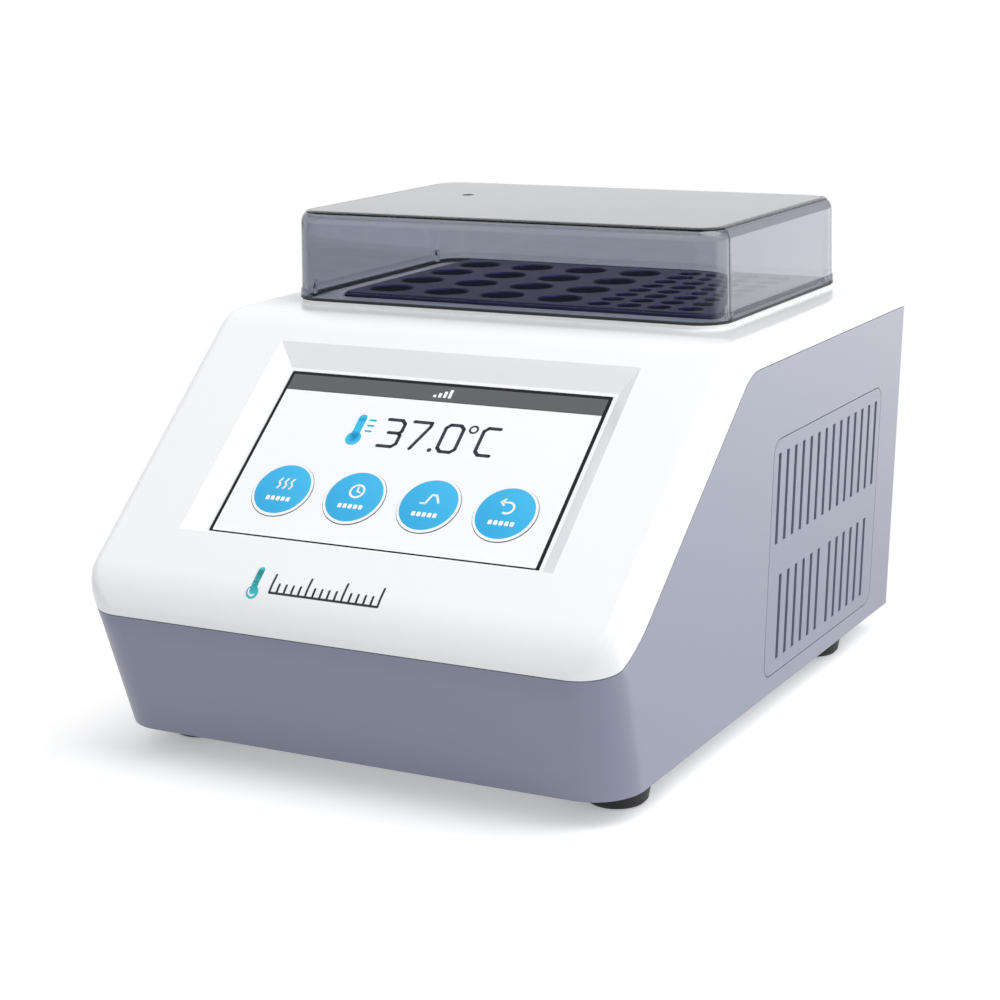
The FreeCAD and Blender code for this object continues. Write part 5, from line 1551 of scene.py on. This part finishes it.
@dataclass
class Lid:
    """Smoky clear lid with a small tab inside each lower corner, in millimetres."""

    smooth_angle: float = 34.0
    corner: float = 15.0
    least_corner: float = 0.5
    corner_steps: int = 16
    top_round: float = 5.5
    lip_width: float = 0.5
    wall: float = 2.5
    strip_thickness: float = 0.1
    # Height and inward lean of the dark strip round the lid's foot
    foot_strip_height: float = 0.9
    foot_strip_lean: float = 0.05
    # Where the painted shade strip lies on the top's round, and its width
    edge_shade_angle: float = 62.0
    edge_shade_width: float = 0.55
    tab_size: Size = (1.4, 3.2, 6.0)
    tab_gap: float = 0.2
    tab_rise: float = 0.6
    tab_round: float = 0.4
    tab_round_steps: int = 3
    tab_profile: float = 0.5
    clear: ClearSheet = ClearSheet("clear_acrylic", (0.86, 0.88, 0.92), (0.85, 0.86, 0.88))
    # Black finish of the strip round the lid's foot
    foot_strip: Moulding = Moulding("dark_foot_strip", (0.012, 0.012, 0.014), roughness=0.45, grain_depth=0.0)
    # Painted shade: black finish of the strip for the dark line that the acrylic's top edge shows
    edge_shade: Moulding = Moulding("painted_edge_shade", (0.010, 0.010, 0.016), roughness=0.2, grain_depth=0.0)
    low: Vector = field(init=False)
    high: Vector = field(init=False)

    def build(self) -> None:
        """Make the lid's shell, a dark strip round its foot, a black strip of painted shade along the round of
        its top and the tabs in its corners.
        """
        smooth_copy("lid", "lid_shell", Body.LID, Slot.LID, self.smooth_angle)
        self.low, self.high = (corner / MM for corner in box_of("lid"))
        # Dark strip round the lid's lower edge
        end = (-self.foot_strip_lean, self.low.z + self.foot_strip_height)
        self._strip("lid_foot_strip", (0.0, self.low.z), end, Slot.RUBBER, self.foot_strip)
        # A black strip along the round of the top stands for the dark line that light turned back inside the
        # acrylic makes there: painted shade, not a joint
        angle = math.radians(self.edge_shade_angle)
        inset = self.lip_width + self.top_round * (1 - math.cos(angle))
        level = self.high.z - self.top_round * (1 - math.sin(angle))
        end = (inset + self.edge_shade_width * math.sin(angle), level + self.edge_shade_width * math.cos(angle))
        self._strip("lid_edge_shade_strip", (inset, level), end, Slot.LID, self.edge_shade)
        self._tabs()

    def _outline(self, inset: float) -> list[Spot]:
        """Return the lid's outline, moved inward.

        Args:
            inset: How far it is moved.

        Returns:
            Its points.
        """
        radius = max(self.corner - inset, self.least_corner)
        left, front = self.low.x + inset + radius, self.low.y + inset + radius
        right, back = self.high.x - inset - radius, self.high.y - inset - radius
        spots = []
        for quarter, (x, y) in enumerate(((right, back), (left, back), (left, front), (right, front))):
            for step in range(self.corner_steps + 1):
                angle = math.radians((quarter + step / self.corner_steps) * QUARTER_TURN)
                spots.append(around(x, y, radius, angle))
        return spots

    def _strip(self, name: str, start: Spot, end: Spot, slot: Slot, finish: Finish) -> None:
        """Make a thin strip round the lid.

        Args:
            name: Name of the piece.
            start: Inset and height of its lower edge.
            end: Inset and height of its upper edge.
            slot: Slot of the piece.
            finish: Finish of the piece.
        """
        shape = bmesh.new()
        lower, upper = ([shape.verts.new(Vector((x, y, level)) * MM) for x, y in self._outline(inset)]
                        for inset, level in (start, end))
        count = len(lower)
        for this in range(count):
            after = (this + 1) % count
            shape.faces.new((lower[this], lower[after], upper[after], upper[this]))
        piece = mesh_piece(name, shape)
        skin = piece.modifiers.new("skin", "SOLIDIFY")
        skin.thickness = self.strip_thickness * MM
        skin.offset = 0.0
        bake_modifiers(piece)
        finish_piece(piece, Body.LID, slot, finish)

    def _tabs(self) -> None:
        """Make a small clear tab with softened edges inside each lower corner."""
        shape = bmesh.new()
        thickness, width, height = self.tab_size
        right = self.high.x - self.lip_width - self.wall - self.tab_gap - thickness / 2
        front = self.low.y + self.corner + width / 2
        back = self.high.y - self.corner - width / 2
        size = Matrix.Diagonal((thickness * MM, width * MM, height * MM, 1.0))
        for x in (-right, right):
            for y in (front, back):
                place = Matrix.Translation(Vector((x, y, self.low.z + self.tab_rise + height / 2)) * MM)
                bmesh.ops.create_cube(shape, size=1.0, matrix=place @ size)
        bmesh.ops.bevel(shape, geom=list(shape.edges), offset=self.tab_round * MM,
                        segments=self.tab_round_steps, profile=self.tab_profile, affect="EDGES")
        finish_piece(mesh_piece("lid_corner_tabs", shape), Body.LID, Slot.LID, self.clear)


# Screws


class Axis(Enum):
    """Direction that a screw's head faces."""

    BACK = (0.0, 1.0, 0.0)
    DOWN = (0.0, 0.0, -1.0)


@dataclass(frozen=True)
class ScrewSet:
    """Screws of one node, each with a round bevelled head and a hexagon socket, in millimetres."""

    node: str
    name: str
    axis: Axis
    head_height: float = 2.4
    shank_radius: float = 2.0
    socket_radius: float = 1.8
    socket_depth: float = 1.5
    bevel: float = 0.8


def islands(node: str) -> list[tuple[Vector, Vector]]:
    """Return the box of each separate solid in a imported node.

    Args:
        node: The node.

    Returns:
        The low and high corners, in order of the low ones.
    """
    shape = welded(node)
    left = set(shape.verts)
    boxes = []
    while left:
        found = [left.pop()]
        for vertex in found:
            for edge in vertex.link_edges:
                other = edge.other_vert(vertex)
                if other in left:
                    left.remove(other)
                    found.append(other)
        spans = [(min(values), max(values)) for values in zip(*(vertex.co for vertex in found))]
        boxes.append(tuple(Vector(corner) for corner in zip(*spans)))
    shape.free()
    return sorted(boxes, key=lambda box: tuple(round(value, SORT_DIGITS) for value in box[0]))


class Fasteners:
    """Screw heads with sockets, grown on a point per screw."""

    sides: int = 36
    hexagon: int = 6

    def __init__(self) -> None:
        """Build the tree that every set shares."""
        self.tree = self._tree()

    def _tree(self) -> NodeTree:
        """Tree of one screw, set on each point of a mesh; the head faces +z before it is turned.

        Returns:
            The tree.
        """
        tree, kit, source = new_tree("socket_screws", [
            ("Geometry", GEOMETRY), ("Head Radius", NUMBER), ("Head Height", NUMBER), ("Length", NUMBER),
            ("Shank Radius", NUMBER), ("Socket Radius", NUMBER), ("Socket Depth", NUMBER), ("Bevel", NUMBER),
            ("Turn", VECTOR), ("Material", MATERIAL)])
        head, shank, socket, bevel = (source.outputs[label] for label in
                                      ("Head Radius", "Shank Radius", "Socket Radius", "Bevel"))
        below, tip, sunk, shoulder = (kit.negative(source.outputs[label]) for label in
                                      ("Head Height", "Length", "Socket Depth", "Bevel"))
        crown = kit.math("SUBTRACT", head, bevel)
        rim = circle(kit, socket, self.hexagon)
        parts = [filled(kit, kit.joined((circle(kit, crown, self.sides), rim))),
                 open_cone(kit, shoulder, 0.0, head, crown, self.sides),
                 open_cone(kit, below, shoulder, head, head, self.sides),
                 kit.raised(filled(kit, kit.joined((circle(kit, head, self.sides),
                                                    circle(kit, shank, self.sides)))), below),
                 open_cone(kit, tip, below, shank, shank, self.sides),
                 kit.raised(filled(kit, circle(kit, shank, self.sides)), tip),
                 open_cone(kit, sunk, 0.0, socket, socket, self.hexagon),
                 kit.raised(filled(kit, rim), sunk)]
        screw = kit.add("GeometryNodeTransform", Geometry=kit.joined(parts), Rotation=source.outputs["Turn"])
        screws = kit.add("GeometryNodeInstanceOnPoints", Points=source.outputs["Geometry"],
                         Instance=screw.outputs[0])
        end_tree(kit, screws.outputs[0], source.outputs["Material"])
        return tree

    def add(self, screws: ScrewSet) -> None:
        """Make one set of screws in place of a node.

        Args:
            screws: The set.
        """
        axis = Vector(screws.axis.value)
        along = max(range(3), key=lambda k: abs(axis[k]))
        across = (along + 1) % 3
        boxes = islands(screws.node)
        tops = []
        for low, high in boxes:
            top = (low + high) / 2
            top[along] = high[along] if axis[along] > 0 else low[along]
            tops.append(top)
        low, high = boxes[-1]
        base = bpy.data.meshes.new(screws.name)
        base.from_pydata(tops, [], [])
        turn = Vector((0.0, 0.0, 1.0)).rotation_difference(axis).to_euler()
        piece = grow_piece(screws.name, self.tree, FINISHES[Slot.SCREW], base,
                           Head_Radius=(high[across] - low[across]) / 2, Head_Height=screws.head_height * MM,
                           Length=high[along] - low[along], Shank_Radius=screws.shank_radius * MM,
                           Socket_Radius=screws.socket_radius * MM, Socket_Depth=screws.socket_depth * MM,
                           Bevel=screws.bevel * MM, Turn=tuple(turn))
        sharpen(piece)
        finish_piece(piece, Body.HOUSING, Slot.SCREW)
        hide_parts(screws.node)


SCREW_SETS = (
    ScrewSet("fan_screws", "fan_socket_screws", Axis.BACK),
    ScrewSet("rear_panel_screws", "rear_socket_screws", Axis.BACK),
    ScrewSet("floor_screws", "floor_socket_screws", Axis.DOWN),
    ScrewSet("foot_screws", "foot_socket_screws", Axis.DOWN),
    ScrewSet("cover_screws", "cover_socket_screws", Axis.DOWN),
)


# Studio


@dataclass(frozen=True)
class Lamp:
    """Square soft lamp, in metres and watts."""

    name: str
    place: Size
    size: float
    power: float


@dataclass
class Studio:
    """Pale floor, white surroundings, soft lamps and the camera, in metres and degrees."""

    focal_pixels: float = 2312.6
    image_pixels: float = 1000.0
    azimuth: float = 27.978
    elevation: float = 13.455
    roll: float = 0.896
    position: Size = (0.4754, -0.9169, 0.3367)
    centre_pixel: Spot = (496.5, 501.8)
    sensor: float = 36.0
    lit_point: Size = (0.0, 0.0, 0.12)
    lamps: tuple[Lamp, ...] = (Lamp("overhead", (0.75, 0.0, 1.6), 1.3, 19.0),
                               Lamp("right_side", (2.0, 0.3, 1.5), 1.2, 6.5),
                               Lamp("front_fill", (-0.3, -1.8, 2.0), 1.4, 4.0))
    sky_colour: Colour = (0.93, 0.95, 1.0)
    sky_power: float = 0.55
    floor_size: float = 12.0
    floor_colour: Colour = (0.86, 0.86, 0.87)
    floor_roughness: float = 0.6
    floor_specular: float = 0.2
    shadow_lift: float = 0.25
    shadow_core: Size = (0.10, 0.14, 0.0)
    shadow_reach: float = 0.08
    right_span: Spot = (0.1, 0.5)
    right_gloss: float = 2.2
    front_span: Spot = (-0.7, 0.0)
    front_gloss: float = 0.2

    def build(self) -> None:
        """Set up the whole studio."""
        self._floor()
        self._world()
        for lamp in self.lamps:
            self._hang(lamp)
        self._camera()
        bpy.context.scene.view_settings.view_transform = "Standard"

    @staticmethod
    def _seen(kit: NodeKit) -> tuple[NodeSocket, NodeSocket]:
        """Tell rays that see a surface from rays that only light others.

        Args:
            kit: Kit on the tree.

        Returns:
            Whether a camera, glossy or see-through ray sees it, and whether a glossy one does.
        """
        rays = kit.add("ShaderNodeLightPath").outputs
        plain = kit.math("MAXIMUM", rays["Is Camera Ray"], rays["Is Transmission Ray"])
        return kit.math("MAXIMUM", plain, rays["Is Glossy Ray"]), rays["Is Glossy Ray"]

    def _near_share(self, kit: NodeKit, place: NodeSocket) -> NodeSocket:
        """Fade from 0 under the instrument and its shadow to 1 outside.

        Args:
            kit: Kit on the floor's tree.
            place: Place on the floor.

        Returns:
            The share.
        """
        folded = kit.vector_math("ABSOLUTE", place).outputs[0]
        beyond = kit.vector_math("SUBTRACT", folded, self.shadow_core).outputs[0]
        outside = kit.vector_math("MAXIMUM", beyond, (0.0, 0.0, 0.0)).outputs[0]
        reach = kit.vector_math("LENGTH", outside).outputs["Value"]
        return kit.add("ShaderNodeMapRange", {"interpolation_type": "SMOOTHSTEP"}, Value=reach, From_Min=0.0,
                       From_Max=self.shadow_reach).outputs["Result"]

    def _gloss_power(self, kit: NodeKit, place: NodeSocket, glossy: NodeSocket) -> NodeSocket:
        """Set how bright gloss mirrors the floor: more at the right, less in front.

        Args:
            kit: Kit on the floor's tree.
            place: Place on the floor.
            glossy: Whether a glossy ray sees it.

        Returns:
            How bright the floor is.
        """
        sides = []
        for axis, (start, end), low, high in (("X", self.right_span, 1.0, self.right_gloss),
                                              ("Y", self.front_span, self.front_gloss, 1.0)):
            side = kit.add("ShaderNodeMapRange", Value=kit.part_of(place, axis), From_Min=start, From_Max=end,
                           To_Min=low, To_Max=high)
            sides.append(side.outputs["Result"])
        gloss = kit.math("SUBTRACT", kit.math("MULTIPLY", *sides), 1.0)
        return kit.math("MULTIPLY_ADD", gloss, glossy, 1.0)

    def _floor(self) -> None:
        """Lay a pale floor that shows white to the camera and keeps the shadow."""
        half = self.floor_size / 2
        shape = bmesh.new()
        shape.faces.new([shape.verts.new((x, y, 0.0)) for x, y in
                         ((-half, -half), (half, -half), (half, half), (-half, half))])
        floor = mesh_piece("floor", shape)
        material, kit, shader, output = new_material("pale_floor")
        kit.fill(shader, Base_Color=opaque(self.floor_colour), Roughness=self.floor_roughness,
                 Specular_IOR_Level=self.floor_specular)
        place = kit.add("ShaderNodeTexCoord").outputs["Object"]
        seen, glossy = self._seen(kit)
        bright = kit.add("ShaderNodeBsdfDiffuse", Color=opaque(WHITE))
        lift = kit.add("ShaderNodeEmission", Color=opaque(WHITE), Strength=self.shadow_lift)
        near = kit.add("ShaderNodeAddShader", i0=bright.outputs[0], i1=lift.outputs[0])
        power = self._gloss_power(kit, place, glossy)
        paper = kit.add("ShaderNodeEmission", Color=opaque(WHITE), Strength=power)
        shown = kit.add("ShaderNodeMixShader", i0=self._near_share(kit, place), i1=near.outputs[0],
                        i2=paper.outputs[0])
        mixed = kit.add("ShaderNodeMixShader", i0=seen, i1=shader.outputs["BSDF"], i2=shown.outputs[0])
        kit.fill(output, Surface=mixed.outputs[0])
        floor.data.materials.append(material)

    def _world(self) -> None:
        """Light from all round, seen as white by the camera, in gloss and through glass."""
        world = bpy.data.worlds.new("studio")
        bpy.context.scene.world = world
        world.use_nodes = True
        kit = NodeKit(world.node_tree)
        fill = kit.add("ShaderNodeBackground", Color=opaque(self.sky_colour), Strength=self.sky_power)
        white = kit.add("ShaderNodeBackground", Color=opaque(WHITE), Strength=1.0)
        seen, _ = self._seen(kit)
        mixed = kit.add("ShaderNodeMixShader", i0=seen, i1=fill.outputs[0], i2=white.outputs[0])
        kit.add("ShaderNodeOutputWorld", Surface=mixed.outputs[0])

    def _hang(self, lamp: Lamp) -> None:
        """Hang one lamp that looks at the instrument.

        Args:
            lamp: The lamp.
        """
        data = bpy.data.lights.new(lamp.name, "AREA")
        data.shape = "SQUARE"
        data.size = lamp.size
        data.energy = lamp.power
        place = Vector(lamp.place)
        turn = (Vector(self.lit_point) - place).to_track_quat("-Z", "Y").to_matrix().to_4x4()
        link_object(lamp.name, data).matrix_world = Matrix.Translation(place) @ turn

    def _view_axes(self) -> tuple[Vector, Vector, Vector]:
        """Return the directions that run across, down and into the picture.

        Returns:
            The three directions.
        """
        azimuth, elevation = math.radians(self.azimuth), math.radians(self.elevation)
        roll = math.radians(self.roll)
        forward = Vector((-math.sin(azimuth) * math.cos(elevation), math.cos(azimuth) * math.cos(elevation),
                          -math.sin(elevation)))
        right = Vector((math.cos(azimuth), math.sin(azimuth), 0.0))
        down = forward.cross(right)
        across = math.cos(roll) * right + math.sin(roll) * down
        below = -math.sin(roll) * right + math.cos(roll) * down
        return across, below, forward

    def _camera(self) -> None:
        """Place the camera at the photograph's viewing angle."""
        across, below, forward = self._view_axes()
        data = bpy.data.cameras.new("camera")
        data.sensor_width = self.sensor
        data.lens = self.focal_pixels / self.image_pixels * self.sensor
        half = self.image_pixels / 2
        data.shift_x = (half - self.centre_pixel[0]) / self.image_pixels
        data.shift_y = (self.centre_pixel[1] - half) / self.image_pixels
        camera = link_object("camera", data)
        turn = Matrix((across, -below, -forward)).transposed().to_4x4()
        camera.matrix_world = Matrix.Translation(Vector(self.position)) @ turn
        bpy.context.scene.camera = camera


def main() -> None:
    """Build the instrument and its studio."""
    logging.basicConfig(level=logging.INFO, format="%(name)s %(message)s")
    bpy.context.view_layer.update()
    dress_nodes()
    for assembly in (Hull, Display, FrontPrint, RockerMarks, HeatingBlock, Lid):
        assembly().build()
    fasteners = Fasteners()
    for screws in SCREW_SETS:
        fasteners.add(screws)
    Studio().build()


if __name__ == "__main__":
    main()
